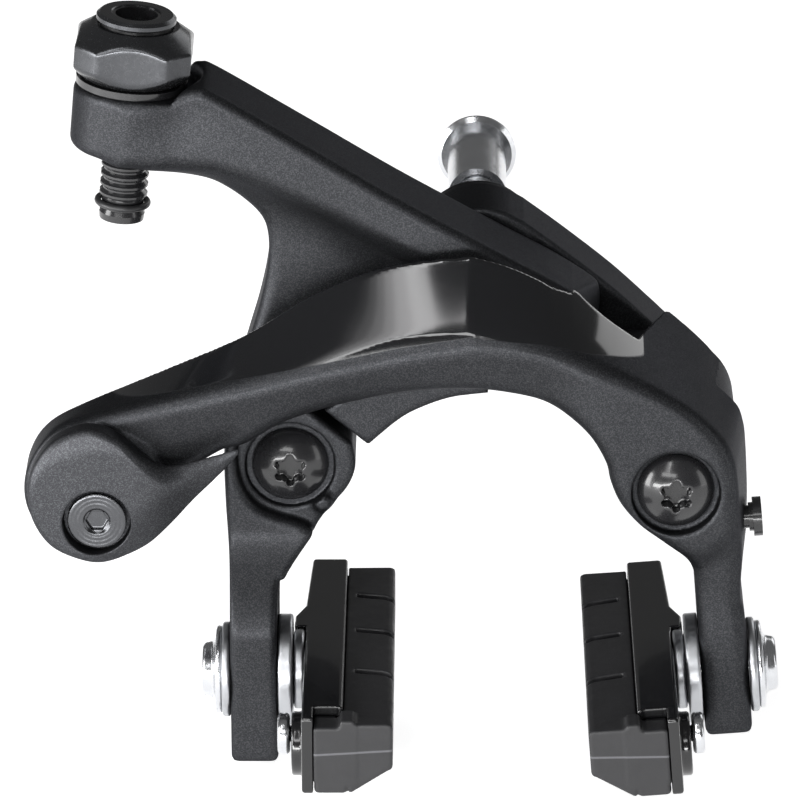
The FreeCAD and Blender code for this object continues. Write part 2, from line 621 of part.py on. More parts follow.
def outer_washer():
    disc = Part.makeCylinder(6.3, 1.2, V(-PAD_ARM_T - 1.25, 0, 0), V(1, 0, 0))
    return disc.cut(Part.makeCylinder(SHOE_BOLT_R + RUNNING, 3, V(-PAD_ARM_T - 2, 0, 0), V(1, 0, 0)))


def convex_washer():
    rim = Part.makeCylinder(7.3, 1.9, V(0.05, 0, 0), V(1, 0, 0))
    dome = Part.makeCylinder(5.0, 2.95, V(0.05, 0, 0), V(1, 0, 0)).common(Part.makeSphere(9.0, V(-6.05, 0, 0)))
    return rim.fuse(dome).cut(Part.makeCylinder(SHOE_BOLT_R + RUNNING, 5, V(-1, 0, 0), V(1, 0, 0)))


def concave_washer():
    disc = Part.makeCylinder(5.2, 1.45, V(2.0, 0, 0), V(1, 0, 0)).cut(Part.makeSphere(9.05, V(-6.05, 0, 0)))
    return disc.cut(Part.makeCylinder(SHOE_BOLT_R + RUNNING, 5, V(0, 0, 0), V(1, 0, 0)))


def shoe_holder():
    half = SHOE_LENGTH / 2
    body = box(3.5, 8.8, -half, half, SHOE_BOTTOM, SHOE_TOP)
    body = body.cut(box(5.0, 8.0, -half - 1, half - 1.6, SHOE_BOTTOM + 1.4, SHOE_TOP - 1.4))
    body = body.cut(box(7.9, 10, -half - 1, half - 1.6, SHOE_BOTTOM + 2.1, SHOE_TOP - 2.1))
    body = body.cut(box(5.0, 10, -half - 1, -half + 4.4, SHOE_BOTTOM - 1, SHOE_TOP + 1))
    body = body.fuse(Part.makeCylinder(3.9, 1.6, V(1.95, RETAINER[0], RETAINER[1] - 1.4), V(1, 0, 0)))
    hood = box(2.15, 3.6, -3.8, 6.8, SHOE_BOTTOM, SHOE_TOP)
    hood = hood.cut(Part.makeCylinder(5.35, 5, V(0, 0, 0), V(1, 0, 0)))
    hood = hood.cut(Part.makeCylinder(5.35, 5, V(0, -4, 0), V(1, 0, 0)))
    body = body.fuse(hood)
    body = body.cut(Part.makeCylinder(SHOE_BOLT_R + RUNNING, 5, V(2, 0, 0), V(1, 0, 0)))
    body = body.cut(Part.makeCylinder(1.0 + LOCATING, 8, V(0, RETAINER[0], RETAINER[1]), V(1, 0, 0)))
    for y in (-half, half):
        for z in (SHOE_BOTTOM, SHOE_TOP):
            body = body.cut(corner_round(3.4, 9.5, y, z, 1.2))
    return body.removeSplitter()


def corner_round(x0, x1, y, z, r):
    """Tool that rounds a block's corner at (y, z) along X."""
    inward_y = -r if y > 0 else r
    inward_z = -r if z > 0 else r
    y0, y1 = sorted((y, y + inward_y))
    z0, z1 = sorted((z, z + inward_z))
    tool = box(x0, x1, y0 - 0.01 * (y < 0), y1 + 0.01 * (y > 0), z0 - 0.01 * (z < 0), z1 + 0.01 * (z > 0))
    return tool.cut(Part.makeCylinder(r, x1 - x0, V(x0, y + inward_y, z + inward_z), V(1, 0, 0)))


def brake_pad():
    """Rubber insert: a rail in the holder, a thick front end and a wedge-shaped friction block."""
    half = SHOE_LENGTH / 2
    rail = box(5.1, 7.9, -half, half - 1.8, SHOE_BOTTOM + 1.5, SHOE_TOP - 1.5)
    neck = box(7.8, 9.0, -half, half - 1.8, SHOE_BOTTOM + 2.2, SHOE_TOP - 2.2)
    stop = box(5.1, 9.4, -half, -half + 4.3, SHOE_BOTTOM + 0.1, SHOE_TOP - 1.4)
    corners = [V(8.9, 0, 3.9), V(14.7, 0, 3.7), V(15.1, 0, 3.3), V(15.1, 0, -2.0), V(14.8, 0, -2.4),
               V(8.9, 0, -5.3)]
    block = Part.Face(Part.makePolygon(corners + corners[:1])).extrude(V(0, SHOE_LENGTH - 2.2, 0))
    block.translate(V(0, -half + 0.4, 0))
    body = rail.fuse([neck, stop, block])
    for y in (-8.6, 3.4, 13.6):
        body = body.cut(box(10.4, 17, y, y + 1.0, 2.6, SHOE_TOP + 1))
        body = body.cut(box(14.2, 17, y, y + 1.0, SHOE_BOTTOM, SHOE_TOP))
    return body.removeSplitter()


def retaining_screw():
    body = Part.makeCylinder(2.7, 1.5, V(0.4, RETAINER[0], RETAINER[1]), V(1, 0, 0))
    body = body.fuse(Part.makeCylinder(1.0, 3.0, V(1.8, RETAINER[0], RETAINER[1]), V(1, 0, 0)))
    socket = prism(6, 2.0, 0, 1.0)
    socket.rotate(V(0, 0, 0), V(0, 1, 0), 90)
    socket.translate(V(0.3, RETAINER[0], RETAINER[1]))
    return body.cut(socket).removeSplitter()


def left_shoe(shape):
    shape.translate(V(LEFT_SHOE[0], SHOE_Y, LEFT_SHOE[1]))
    return shape


def right_shoe(shape):
    shape = shape.mirror(V(0, 0, 0), V(1, 0, 0))
    shape.rotate(V(0, 0, 0), V(0, 1, 0), -RIGHT_SPLAY)
    shape.translate(V(RIGHT_SHOE[0], SHOE_Y, RIGHT_SHOE[1]))
    return shape


# --- write every piece -------------------------------------------------------------------
def main():
    os.makedirs("parts", exist_ok=True)
    pieces = {
        "bridge": bridge(), "mounting_stud": mounting_stud(), "mounting_washer": mounting_washer(),
        "sleeve_nut": sleeve_nut(),
        "left_pivot_bolt": pivot_bolt(LEFT, LEFT_SEAT, BRIDGE_FRONT),
        "right_pivot_bolt": pivot_bolt(RIGHT, RIGHT_SEAT, RIGHT_LUG_FRONT),
        "left_pivot_bushing": pivot_bushing(LEFT, LEFT_SEAT, UPPER_BACK),
        "right_pivot_bushing": pivot_bushing(RIGHT, RIGHT_SEAT, HUB_BACK_RIGHT),
        "left_thrust_washer": thrust_washer(LEFT, UPPER_BACK + 0.1, BRIDGE_FRONT - 0.1),
        "right_thrust_washer": thrust_washer(RIGHT, HUB_BACK_RIGHT + 0.05, RIGHT_LUG_FRONT - 0.05),
        "upper_arm": upper_arm(), "lower_arm": lower_arm(),
        "sync_roller": sync_roller(), "roller_pin": roller_pin(), "centering_screw": centering_screw(),
        "return_spring": return_spring(), "spring_clip": spring_clip(),
        "left_spring_seat": spring_seat(LEFT, UPPER_BACK),
        "right_spring_seat": spring_seat(RIGHT, HUB_BACK_RIGHT),
        "adjuster_detent_ring": detent_ring(), "adjuster_nut": adjuster_nut(),
        "adjuster_barrel": adjuster_barrel(), "adjuster_cap": adjuster_cap(),
        "adjuster_seal": adjuster_seal(), "adjuster_o_ring": adjuster_o_ring(),
        "quick_release_lever": quick_release_lever(), "release_screw": release_screw(),
        "release_shaft": release_shaft(), "release_bushing": release_bushing(),
        "cable_clamp_plate": clamp_plate(), "cable_anchor_bolt": anchor_bolt(),
    }
    shoe = {"shoe_bolt": shoe_bolt, "outer_washer": outer_washer, "convex_washer": convex_washer,
            "concave_washer": concave_washer, "shoe_holder": shoe_holder, "brake_pad": brake_pad,
            "pad_retaining_screw": retaining_screw}
    for name, make in shoe.items():
        pieces["left_" + name] = left_shoe(make())
        pieces["right_" + name] = right_shoe(make())
    for name, shape in pieces.items():
        save(shape, name)
        print(name, len(shape.Solids), round(shape.Volume, 1), shape.isValid())


main()
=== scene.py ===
import json
import math

import bpy
import numpy as np
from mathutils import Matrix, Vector


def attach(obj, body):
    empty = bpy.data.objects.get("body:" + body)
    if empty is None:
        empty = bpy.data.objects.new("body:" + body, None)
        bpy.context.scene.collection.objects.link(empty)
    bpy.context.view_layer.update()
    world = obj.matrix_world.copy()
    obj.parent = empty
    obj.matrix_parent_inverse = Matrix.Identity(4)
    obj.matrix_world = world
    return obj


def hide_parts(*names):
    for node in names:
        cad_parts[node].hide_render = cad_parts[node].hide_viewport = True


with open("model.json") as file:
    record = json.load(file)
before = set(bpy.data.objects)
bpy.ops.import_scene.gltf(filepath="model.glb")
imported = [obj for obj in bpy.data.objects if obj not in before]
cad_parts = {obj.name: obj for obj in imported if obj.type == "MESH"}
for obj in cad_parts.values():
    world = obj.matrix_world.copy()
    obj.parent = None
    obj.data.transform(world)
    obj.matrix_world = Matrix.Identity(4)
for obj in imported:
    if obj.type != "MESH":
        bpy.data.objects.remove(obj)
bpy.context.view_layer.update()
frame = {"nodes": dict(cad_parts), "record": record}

nodes = frame["nodes"]
STEP = 0.28  # grid steps in millimetres, for the arms and for small parts
FINE = 0.16

# --- solids from distance fields, in millimetres ---------------------------------------


def spline(points, n=10):
    """Dense points of a smooth curve through the given ones."""
    p = np.array([points[0]] + list(points) + [points[-1]], float)
    p[0] = 2 * p[1] - p[2]
    p[-1] = 2 * p[-2] - p[-3]
    out = []
    for i in range(1, len(p) - 2):
        t = np.linspace(0, 1, n, endpoint=False)[:, None]
        a, b, c, d = p[i - 1], p[i], p[i + 1], p[i + 2]
        out.append(0.5 * (2 * b + (c - a) * t + (2 * a - 5 * b + 4 * c - d) * t**2
                          + (3 * b - a - 3 * c + d) * t**3))
    return np.concatenate(out + [p[-2:-1]])


def outline(*runs):
    """A closed outline from smooth runs that meet at corners."""
    return np.concatenate([spline(r) if len(r) > 2 else np.array(r, float) for r in runs])


def polygon(u, v, points):
    """Signed distance to a closed outline in a plane, negative inside."""
    u, v = np.broadcast_arrays(u, v)
    a = np.asarray(points, np.float32)
    b = np.roll(a, -1, axis=0)
    best = np.full(u.shape, 1e9, np.float32)
    inside = np.zeros(u.shape, bool)
    for (ax, az), (bx, bz) in zip(a, b):
        ex, ez = bx - ax, bz - az
        length = ex * ex + ez * ez
        if length < 1e-10:
            continue
        t = np.clip(((u - ax) * ex + (v - az) * ez) / length, 0, 1)
        best = np.minimum(best, (u - ax - t * ex) ** 2 + (v - az - t * ez) ** 2)
        if abs(ez) > 1e-9:
            inside ^= ((az > v) != (bz > v)) & (u < ex * (v - az) / ez + ax)
    d = np.sqrt(best)
    return np.where(inside, -d, d)


class Block:
    """A grid of points that distance fields are worked out on."""

    def __init__(self, low, high, step=STEP):
        self.low = np.array(low, float)
        self.step = step
        axes = [np.arange(a, b + step, step, dtype=np.float32) for a, b in zip(low, high)]
        self.x = axes[0][:, None, None]
        self.y = axes[1][None, :, None]
        self.z = axes[2][None, None, :]

    def flat(self, points):
        """Signed distance to an outline in the XZ plane."""
        return polygon(self.x[:, 0, :], self.z[0, 0, :][None, :], points)[:, None, :]

    def brick(self, low, high, r=0.0):
        """Box with its edges rounded."""
        q = [np.maximum(a - v, v - b) + r for v, a, b in zip((self.x, self.y, self.z), low, high)]
        outside = np.sqrt(sum(np.maximum(v, 0) ** 2 for v in q))
        return outside + np.minimum(np.maximum(np.maximum(q[0], q[1]), q[2]), 0) - r

    def turned(self, point, direction, profile):
        """Solid of revolution from points (distance along the axis, radius)."""
        d = np.array(direction, float)
        d /= np.linalg.norm(d)
        p = [v - c for v, c in zip((self.x, self.y, self.z), point)]
        h = p[0] * d[0] + p[1] * d[1] + p[2] * d[2]
        radial = np.sqrt(np.maximum(p[0] ** 2 + p[1] ** 2 + p[2] ** 2 - h * h, 0))
        return polygon(h, radial, profile)

    def disc(self, centre, radius):
        """Circle in the XZ plane."""
        return np.hypot(self.x - centre[0], self.z - centre[1]) - radius

    def rod(self, point, direction, radius, low, high, r=0.0):
        """Round bar about any axis, with its ends at the given distances from the point."""
        d = np.array(direction, float)
        d /= np.linalg.norm(d)
        px, py, pz = self.x - point[0], self.y - point[1], self.z - point[2]
        h = px * d[0] + py * d[1] + pz * d[2]
        radial = np.sqrt(np.maximum(px * px + py * py + pz * pz - h * h, 0)) - radius
        return rounded(radial, np.maximum(low - h, h - high), r)

    def slab(self, flat, front, back, r=0.0):
        """An outline given depth from front to back (front has the smaller Y)."""
        return rounded(flat, np.maximum(front - self.y, self.y - back), r)


def rounded(a, b, r):
    """What two distances have in common, with the edge between them rounded."""
    a = a + r
    b = b + r
    return np.minimum(np.maximum(a, b), 0) + np.hypot(np.maximum(a, 0), np.maximum(b, 0)) - r


def join(a, b, k=0.0):
    """Both solids as one, with a fillet of about k."""
    if k <= 0:
        return np.minimum(a, b)
    h = np.maximum(k - np.abs(a - b), 0) / k
    return np.minimum(a, b) - h * h * k * 0.25


def meet(a, b, k=0.0):
    """What two solids have in common."""
    return -join(-a, -b, k)


def cut(a, b, k=0.0):
    """The first solid without the second."""
    return meet(a, -b, k)


def ramp(v, a, b):
    """Smooth step from 0 at a to 1 at b."""
    t = np.clip((v - a) / (b - a), 0, 1)
    return t * t * (3 - 2 * t)


# Corners of a grid cell, and the pairs of them that an edge joins.
CORNERS = [(i, j, k) for i in (0, 1) for j in (0, 1) for k in (0, 1)]
EDGES = [(a, b) for a in range(8) for b in range(a + 1, 8)
         if sum(abs(p - q) for p, q in zip(CORNERS[a], CORNERS[b])) == 1]


def hexagon(u, v, across):
    """Signed distance to a hexagon with a corner on the second axis."""
    c = math.cos(math.radians(30))
    return np.maximum(np.abs(u), np.abs(u) / 2 + np.abs(v) * c) - across / 2


def mesh_from_field(name, block, field, place=None, masks=None):
    """Closed mesh of the field's zero surface (surface nets), with other fields kept on its vertices."""
    f = np.ascontiguousarray(field, np.float32)
    inside = f < 0
    cells = tuple(n - 1 for n in f.shape)
    count = np.zeros(cells, np.int8)
    for i, j, k in CORNERS:
        count += inside[i:i + cells[0], j:j + cells[1], k:k + cells[2]]
    active = np.argwhere((count > 0) & (count < 8))
    values = [f[active[:, 0] + i, active[:, 1] + j, active[:, 2] + k] for i, j, k in CORNERS]
    total = np.zeros((len(active), 3))
    hits = np.zeros(len(active))
    for a, b in EDGES:
        va, vb = values[a], values[b]
        crossing = (va < 0) != (vb < 0)
        t = np.where(crossing, va / np.where(crossing, va - vb, 1), 0)
        ca, cb = np.array(CORNERS[a]), np.array(CORNERS[b])
        total += crossing[:, None] * (ca + t[:, None] * (cb - ca))
        hits += crossing
    part = total / hits[:, None]
    points = (active + part) * block.step + block.low
    kept = {}
    for key, mask in (masks or {}).items():
        mask = np.broadcast_to(mask, f.shape)
        kept[key] = sum(mask[active[:, 0] + i, active[:, 1] + j, active[:, 2] + k]
                        * np.prod(np.where((i, j, k), part, 1 - part), axis=1) for i, j, k in CORNERS)
    index = np.full(cells, -1, np.int32)
    index[active[:, 0], active[:, 1], active[:, 2]] = np.arange(len(active))
    faces = []
    for axis in range(3):
        u, v = [(1, 2), (2, 0), (0, 1)][axis]
        low = np.take(inside, range(0, inside.shape[axis] - 1), axis)
        high = np.take(inside, range(1, inside.shape[axis]), axis)
        at = np.argwhere(low != high)
        at = at[(at[:, u] > 0) & (at[:, v] > 0)]
        at = at[(at[:, u] < cells[u]) & (at[:, v] < cells[v])]
        starts = low[at[:, 0], at[:, 1], at[:, 2]]
        quad = []
        for du, dv in ((0, 0), (1, 0), (1, 1), (0, 1)):
            c = at.copy()
            c[:, u] -= du
            c[:, v] -= dv
            quad.append(index[c[:, 0], c[:, 1], c[:, 2]])
        quad = np.stack(quad, 1)
        quad[~starts] = quad[~starts][:, ::-1]
        faces.append(quad)
    faces = np.concatenate(faces)
    faces = faces[(faces >= 0).all(1)]
    if place is not None:
        points = points @ place[:3, :3].T + place[:3, 3]
        if np.linalg.det(place[:3, :3]) < 0:
            faces = faces[:, ::-1]
    mesh = bpy.data.meshes.new(name)
    mesh.vertices.add(len(points))
    mesh.vertices.foreach_set("co", (points / 1000).astype(np.float32).ravel())
    mesh.loops.add(len(faces) * 4)
    mesh.loops.foreach_set("vertex_index", faces.astype(np.int32).ravel())
    mesh.polygons.add(len(faces))
    mesh.polygons.foreach_set("loop_start", np.arange(0, len(faces) * 4, 4, dtype=np.int32))
    mesh.polygons.foreach_set("use_smooth", np.ones(len(faces), bool))
    mesh.update(calc_edges=True)
    mesh.validate()
    for key, values in kept.items():
        layer = mesh.attributes.new(key, "FLOAT", "POINT")
        layer.data.foreach_set("value", values.astype(np.float32))
    piece = bpy.data.objects.new(name, mesh)
    bpy.context.scene.collection.objects.link(piece)
    return piece


# --- places and depths, in millimetres: X right, Y back, Z up -----------------------------------
LEFT = (-24.6, -22.3)  # pivots, as X and Z
RIGHT = (25.4, -22.3)
RELEASE = (-49.2, -24.6)  # quick release axis, as X and Z
ADJUSTER = (-44.75, -18.0, 27.6)  # middle of the adjuster's seat
TILT = math.radians(5.2)
UPWARD = (math.sin(TILT), 0.0, math.cos(TILT))
SPLAY = math.radians(4.5)  # the right leg's lean
LEFT_SHOE = (-26.3, -29.0, -50.2)  # shoe bolts, at the inner face of each leg
RIGHT_SHOE = (29.3, -29.0, -50.0)
LEFT_SEAT = -25.5  # pivot bolt seats
RIGHT_SEAT = -34.3
RIDGE_FRONT = -25.2
RIDGE_BACK = -12.4
LOWER_FRONT = -36.1
LOWER_BACK = -28.6
HUB_BACK = -12.3
BRIDGE_FRONT = -11.5
BRIDGE_BACK = -1.5
BOSS_FRONT = -20.0  # the bridge's boss behind the right hub
LEG_WIDTH = 6.2
BOLT_HOLE = 3.05
BALL_CENTRE = -6.05  # the round washers' ball, along the shoe bolt
BALL_SEAT = 9.07
FLOOR_Z = -0.0625  # metres, as the next
EDGE_WIDTH = 0.00015


def upper_arm_piece():
    """Threaded head, ridge, web, pivot hub and left pad leg."""
    b = Block((-54, -37, -62.5), (19, -11, 30.5))
    x, y, z = b.x, b.y, b.z
    head = b.rod(ADJUSTER, UPWARD, 7.4, -8.7, 0.0, 1.2)
    ridge_line = outline(
        [(-46.0, 26.8), (-41.5, 27.6), (-37.8, 28.7), (-36.0, 29.05), (-33.6, 28.2), (-22.0, 21.15),
         (-10.3, 13.95), (1.1, 7.5), (12.2, 1.2)],
        [(12.2, 1.2), (15.4, -1.2), (17.1, -4.0), (16.3, -6.75)],
        [(16.3, -6.75), (12.64, -4.13), (7.4, -1.55)],
        [(7.4, -1.55), (1.0, 1.6), (-4.4, 4.4), (-15.7, 10.9), (-23.9, 14.9), (-32.7, 18.4), (-38.0, 18.95),
         (-46.0, 19.3)])
    ridge = b.slab(b.flat(ridge_line), RIDGE_FRONT, RIDGE_BACK, 1.3)
    ridge = meet(ridge, 0.94 * (x - 11.9 - 0.33 * (y + 25.0)), 0.3)
    web_line = outline(
        [(-40.0, 20.2), (-36.2, 17.6), (-33.0, 15.6), (-30.2, 13.2), (-28.0, 10.4), (-27.25, 7.2),
         (-27.5, 3.2), (-28.6, -2.0), (-30.2, -7.5), (-32.0, -14.0), (-33.0, -20.0)],
        [(-33.0, -20.0), (-26.0, -22.0)], [(-26.0, -22.0), (-21.4, -14.7)],
        [(-21.4, -14.7), (-14.0, -5.5), (-6.0, -0.2), (6.5, -1.1)],
        [(6.5, -1.1), (-2.0, 2.5), (-12.0, 8.5), (-34.0, 20.5), (-40.0, 20.2)])
    web = b.slab(b.flat(web_line), -22.3, -13.6, 1.6)
    leg_line = outline(
        [(-29.0, -12.6), (-32.2, -15.0), (-33.05, -20.0), (-33.0, -27.0), (-32.55, -38.0), (-32.5, -60.25)],
        [(-32.5, -60.25), (-32.2, -60.85), (-31.5, -61.05)], [(-31.5, -61.05), (-27.3, -61.05)],
        [(-27.3, -61.05), (-26.6, -60.85), (-26.3, -60.25)],
        [(-26.3, -60.25), (-26.3, -39.2), (-25.2, -36.3), (-22.0, -32.0), (-19.7, -28.6), (-17.2, -25.6),
         (-16.1, -22.6), (-16.5, -19.3)],
        [(-16.5, -19.3), (-21.7, -14.9)], [(-21.7, -14.9), (-25.0, -12.8), (-29.0, -12.6)])
    leg = b.flat(leg_line)
    low_front = -28.3 - 6.9 * ramp(-z, 30.5, 43.5)
    back = RIDGE_BACK - 10.4 * ramp(-z, 28.0, 41.0)
    rim_line = outline(
        [(-36.0, -10.0), (-31.0, -12.0), (-31.3, -17.0), (-31.5, -21.5), (-30.7, -25.0), (-28.8, -27.6),
         (-26.3, -28.9), (-23.6, -29.7), (-20.9, -30.9), (-15.0, -32.4)],
        [(-15.0, -32.4), (-15.0, -70.0)], [(-15.0, -70.0), (-40.0, -70.0)], [(-40.0, -70.0), (-36.0, -10.0)])
    raised = meet(b.slab(leg, low_front, back, 0.9), b.flat(rim_line), 1.5)
    hub = b.slab(leg, -26.3, back, 0.8)
    lip = b.slab(b.disc((-20.4, -27.3), 1.1), -27.5, -22.0, 0.6)
    body = join(join(head, ridge, 3.5), web, 7.0)
    body = join(body, hub, 3.0)
    body = join(join(body, raised, 0.6), meet(lip, leg, 0.4), 1.2)
    body = cut(body, b.rod(ADJUSTER, UPWARD, 9.0, 0.0, 14.0), 0.35)
    body = cut(body, b.rod(ADJUSTER, UPWARD, 3.45, -20.0, 5.0), 0.3)
    body = cut(body, b.slab(b.disc(LEFT, 5.85), -40.0, LEFT_SEAT), 0.12)
    body = cut(body, b.slab(b.disc(LEFT, 4.6), -40.0, 0.0), 0.0)
    slot = np.hypot(y - LEFT_SHOE[1], np.maximum(np.abs(z - LEFT_SHOE[2]) - 4.0, 0)) - 3.15
    body = cut(body, slot, 0.2)
    foot = (LEFT[0] - 4.6, LEFT[1] - 9.4)
    body = cut(body, b.slab(b.disc(foot, 3.32), -16.3, 0.0), 0.2)
    return mesh_from_field("upper_arm_body", b, body)


# The lower arm's upper crease in front, and its top edge behind. Both break at one corner.
CREASE = [(-58.5, -15.2), (-53.2, -12.6), (-44.0, -10.5), (-35.7, -8.9), (-23.0, -6.2), (-10.2, -3.4),
          (-0.8, -1.75)]
CREASE_RIGHT = [(-0.8, -1.75), (4.0, -2.15), (10.3, -3.5), (17.0, -5.7), (23.1, -8.4), (27.4, -11.1),
                (30.9, -14.7), (32.6, -18.0), (33.2, -21.0), (33.6, -26.0), (33.9, -31.0), (34.1, -38.0)]
TOP = [(-58.4, -17.8), (-56.4, -15.8), (-54.0, -13.95), (-49.8, -11.75), (-40.0, -7.35), (-30.5, -2.95),
       (-23.1, 1.8), (-18.0, 4.4), (-12.8, 6.4), (-7.0, 7.5), (-0.8, 8.05)]
TOP_RIGHT = [(-0.8, 8.05), (3.5, 6.8), (7.5, 5.0), (10.0, 3.4), (12.0, 2.2), (16.5, -0.3), (23.2, -4.7),
             (26.0, -6.75), (29.0, -9.5), (31.5, -12.3), (33.6, -15.1), (34.65, -18.1), (35.0, -21.0),
             (35.3, -26.5), (35.35, -30.0), (35.3, -33.4), (34.7, -36.2), (34.5, -38.0)]
UNDER = [(-56.0, -29.5), (-50.0, -28.4), (-44.0, -25.9), (-38.0, -20.6), (-33.2, -17.4), (-30.1, -16.5),
         (-25.9, -13.9), (-21.7, -12.2), (-16.4, -10.7), (-10.2, -9.4), (-3.8, -8.9), (1.5, -9.1),
         (7.2, -10.2), (10.9, -12.0), (14.2, -14.8), (16.3, -18.4), (17.0, -21.2), (18.3, -24.2),
         (20.8, -27.2), (23.9, -29.6), (26.6, -31.8), (28.0, -34.6), (28.3, -37.6)]
# The gloss panel's lower edge, a little above the crease.
PANEL = [(-62.0, -13.4), (-53.2, -12.0), (-35.7, -8.0), (-10.2, -2.4), (-1.1, -0.9), (8.1, -2.0),
         (12.0, -3.0), (17.0, -4.5), (21.5, -6.0), (30.0, -9.0)]


def leg_point(along, down):
    """A point of the right leg, from its inner face and the shoe bolt."""
    a = SPLAY
    return (RIGHT_SHOE[0] + along * math.cos(a) + down * math.sin(a),
            RIGHT_SHOE[2] + along * math.sin(a) - down * math.cos(a))


def at_x(x, points):
    """Height of a line of points at each X."""
    return np.interp(x[:, 0, 0], [p[0] for p in points], [p[1] for p in points])[:, None, None]


def lower_arm_piece():
    """Arched beam with the lug, the panel's slope, the pocket, the right hub and pad leg."""
    b = Block((-60.5, -37.3, -58.5), (37, -11.5, 9))
    x, y, z = b.x, b.y, b.z
    inner = UNDER + [leg_point(0, -8.0), leg_point(0, 6.9)]
    foot = [[leg_point(0, 6.9), leg_point(0.3, 7.5), leg_point(0.9, 7.7)],
            [leg_point(0.9, 7.7), leg_point(5.3, 7.7)],
            [leg_point(5.3, 7.7), leg_point(5.9, 7.5), leg_point(LEG_WIDTH, 6.9)]]
    outer = [leg_point(LEG_WIDTH, 6.9), leg_point(LEG_WIDTH, -8.0)]
    front = b.flat(outline(inner, *foot, outer + CREASE_RIGHT[::-1], CREASE[::-1]))
    back = b.flat(outline(inner, *foot, outer + TOP_RIGHT[::-1], TOP[::-1]))
    depth = at_x(x, [(9.0, LOWER_BACK), (12.0, -26.5), (17.0, -21.2), (21.0, -17.8), (25.0, -13.2),
                     (27.0, HUB_BACK)])
    low = ramp(-z, 12.0, 17.0) * (x > 19.0)
    depth = depth * (1 - low) - 21.5 * low
    t = np.clip((y - LOWER_FRONT) / (depth - LOWER_FRONT), 0, 1)
    body = front * (1 - t) + back * t
    crease = at_x(x, CREASE + CREASE_RIGHT[1:6])
    fall = np.clip((crease - z) / np.maximum(crease - at_x(x, UNDER[1:16]), 1.0), 0, 1.2)
    lean = 1.9 * fall * (1 - ramp(x, 8.0, 16.0))
    leg_front = 1.6 * ramp(np.hypot(x - RIGHT[0], z - RIGHT[1]), 8.2, 12.0) * ramp(-z, 24.0, 29.0)
    leg_front = leg_front - 0.6 * ramp(-z, 36.0, 46.0)
    face = LOWER_FRONT + lean + leg_front
    rear = np.where(x < 12.0, np.where(z > -12.6, depth, LOWER_BACK), HUB_BACK)
    rear = np.where((x >= 12.0) & (z < -13.1), -20.7, rear)
    rear = rear - 2.1 * ramp(-z, 33.0, 42.0)
    body = meet(body, face - y, 2.2)
    body = meet(body, y - rear, 0.5)
    tip = b.flat(outline([(-44.0, -31.0), (-44.0, -8.0)], [(-44.0, -8.0), (-50.0, -10.8)],
                         [(-50.0, -10.8), (-52.2, -11.7), (-54.0, -12.9), (-55.7, -14.6), (-57.2, -17.0),
                          (-58.1, -20.0), (-58.2, -24.0), (-56.5, -28.0), (-53.0, -31.0)],
                         [(-53.0, -31.0), (-44.0, -31.0)]))
    body = meet(body, np.minimum(-46.0 - x, tip), 0.6)
    lug = b.slab(b.disc((-49.6, -21.9), 9.15), LOWER_FRONT + 0.1, LOWER_BACK, 0.9)
    body = join(body, lug, 0.4)
    shelf = b.slab(b.flat(outline([(4.0, -11.0), (4.0, -2.0)], [(4.0, -2.0), (16.0, -4.0)],
                                  [(16.0, -4.0), (16.0, -12.6)], [(16.0, -12.6), (4.0, -11.0)])),
                   -29.0, HUB_BACK, 0.4)
    body = join(body, shelf, 0.6)
    well = b.flat([(-5.0, 14.0), (-5.0, -2.6), (4.4, -2.6), (4.8, -5.2), (13.2, -8.6), (30.0, -8.6),
                   (30.0, 14.0)])
    pocket = meet(b.slab(well, -25.5, 0.0, 0.0), 0.95 * (x - 22.6) - 0.31 * (y + 19.0), 0.4)
    body = cut(body, pocket, 0.35)
    body = cut(body, b.slab(b.disc((8.64, -5.40), 3.3), -23.6, -14.4), 0.0)
    body = cut(body, b.slab(b.disc(RIGHT, 5.75), -40.0, RIGHT_SEAT), 0.25)
    body = cut(body, b.slab(b.disc(RIGHT, 4.6), -40.0, 0.0), 0.0)
    body = cut(body, b.slab(b.disc(RELEASE, 5.3), -40.0, -20.0), 0.0)
    up = (z - RIGHT_SHOE[2]) * math.cos(SPLAY) - (x - RIGHT_SHOE[0]) * math.sin(SPLAY)
    slot = np.hypot(y - RIGHT_SHOE[1], up - np.clip(up, -1.25, 6.05)) - 3.2
    body = cut(body, np.maximum(slot, z + 38.0), 0.2)
    body = cut(body, b.slab(b.disc((RIGHT[0] + 4.6, RIGHT[1] - 9.4), 3.32), -24.8, 0.0), 0.2)
    before_back = LOWER_BACK - 0.12 - y + 20.0 * ramp(x, 9.0, 11.0)
    within_ends = np.minimum(21.3 - x, x + 54.2)
    panel = np.minimum(z - at_x(x, PANEL), np.minimum(before_back, within_ends))
    return mesh_from_field("lower_arm_body", b, body, masks={"panel": panel})


def lever_piece():
    """Quick release lever with its bevelled blade."""
    b = Block((-59, -41, -31.5), (-29, -36, -11), FINE)
    x, y, z = b.x, b.y, b.z
    line = outline([(-30.05, -15.9), (-31.0, -14.75), (-36.4, -16.5), (-40.2, -17.3), (-43.1, -15.9),
                    (-46.4, -13.1), (-50.3, -11.9), (-54.6, -13.6), (-57.3, -17.2), (-58.0, -21.0),
                    (-57.2, -25.0), (-54.5, -28.5), (-49.2, -30.4), (-45.2, -29.6), (-41.2, -27.3),
                    (-35.2, -22.0), (-30.7, -17.3), (-30.05, -15.9)])
    front = -40.3 + 2.2 * ramp(x, -44.0, -31.0)
    dish = 0.5 * ramp(np.hypot(x - RELEASE[0], z - RELEASE[1]), 9.5, 13.0)
    body = b.slab(b.flat(line), front + dish, -36.35, 0.9 + 1.5 * ramp(x, -46.0, -40.0))
    bevel = 0.68 * (x + 46.0) - 0.73 * (z + 30.0) + 3.2
    slope = 0.45 - 0.25 * ramp(x, -38.0, -31.0)
    body = meet(body, 0.91 * (front + slope * bevel - y), 0.5)
    body = cut(body, b.slab(b.disc(RELEASE, 4.4), -50.0, -38.0), 0.2)
    return mesh_from_field("lever_body", b, body)


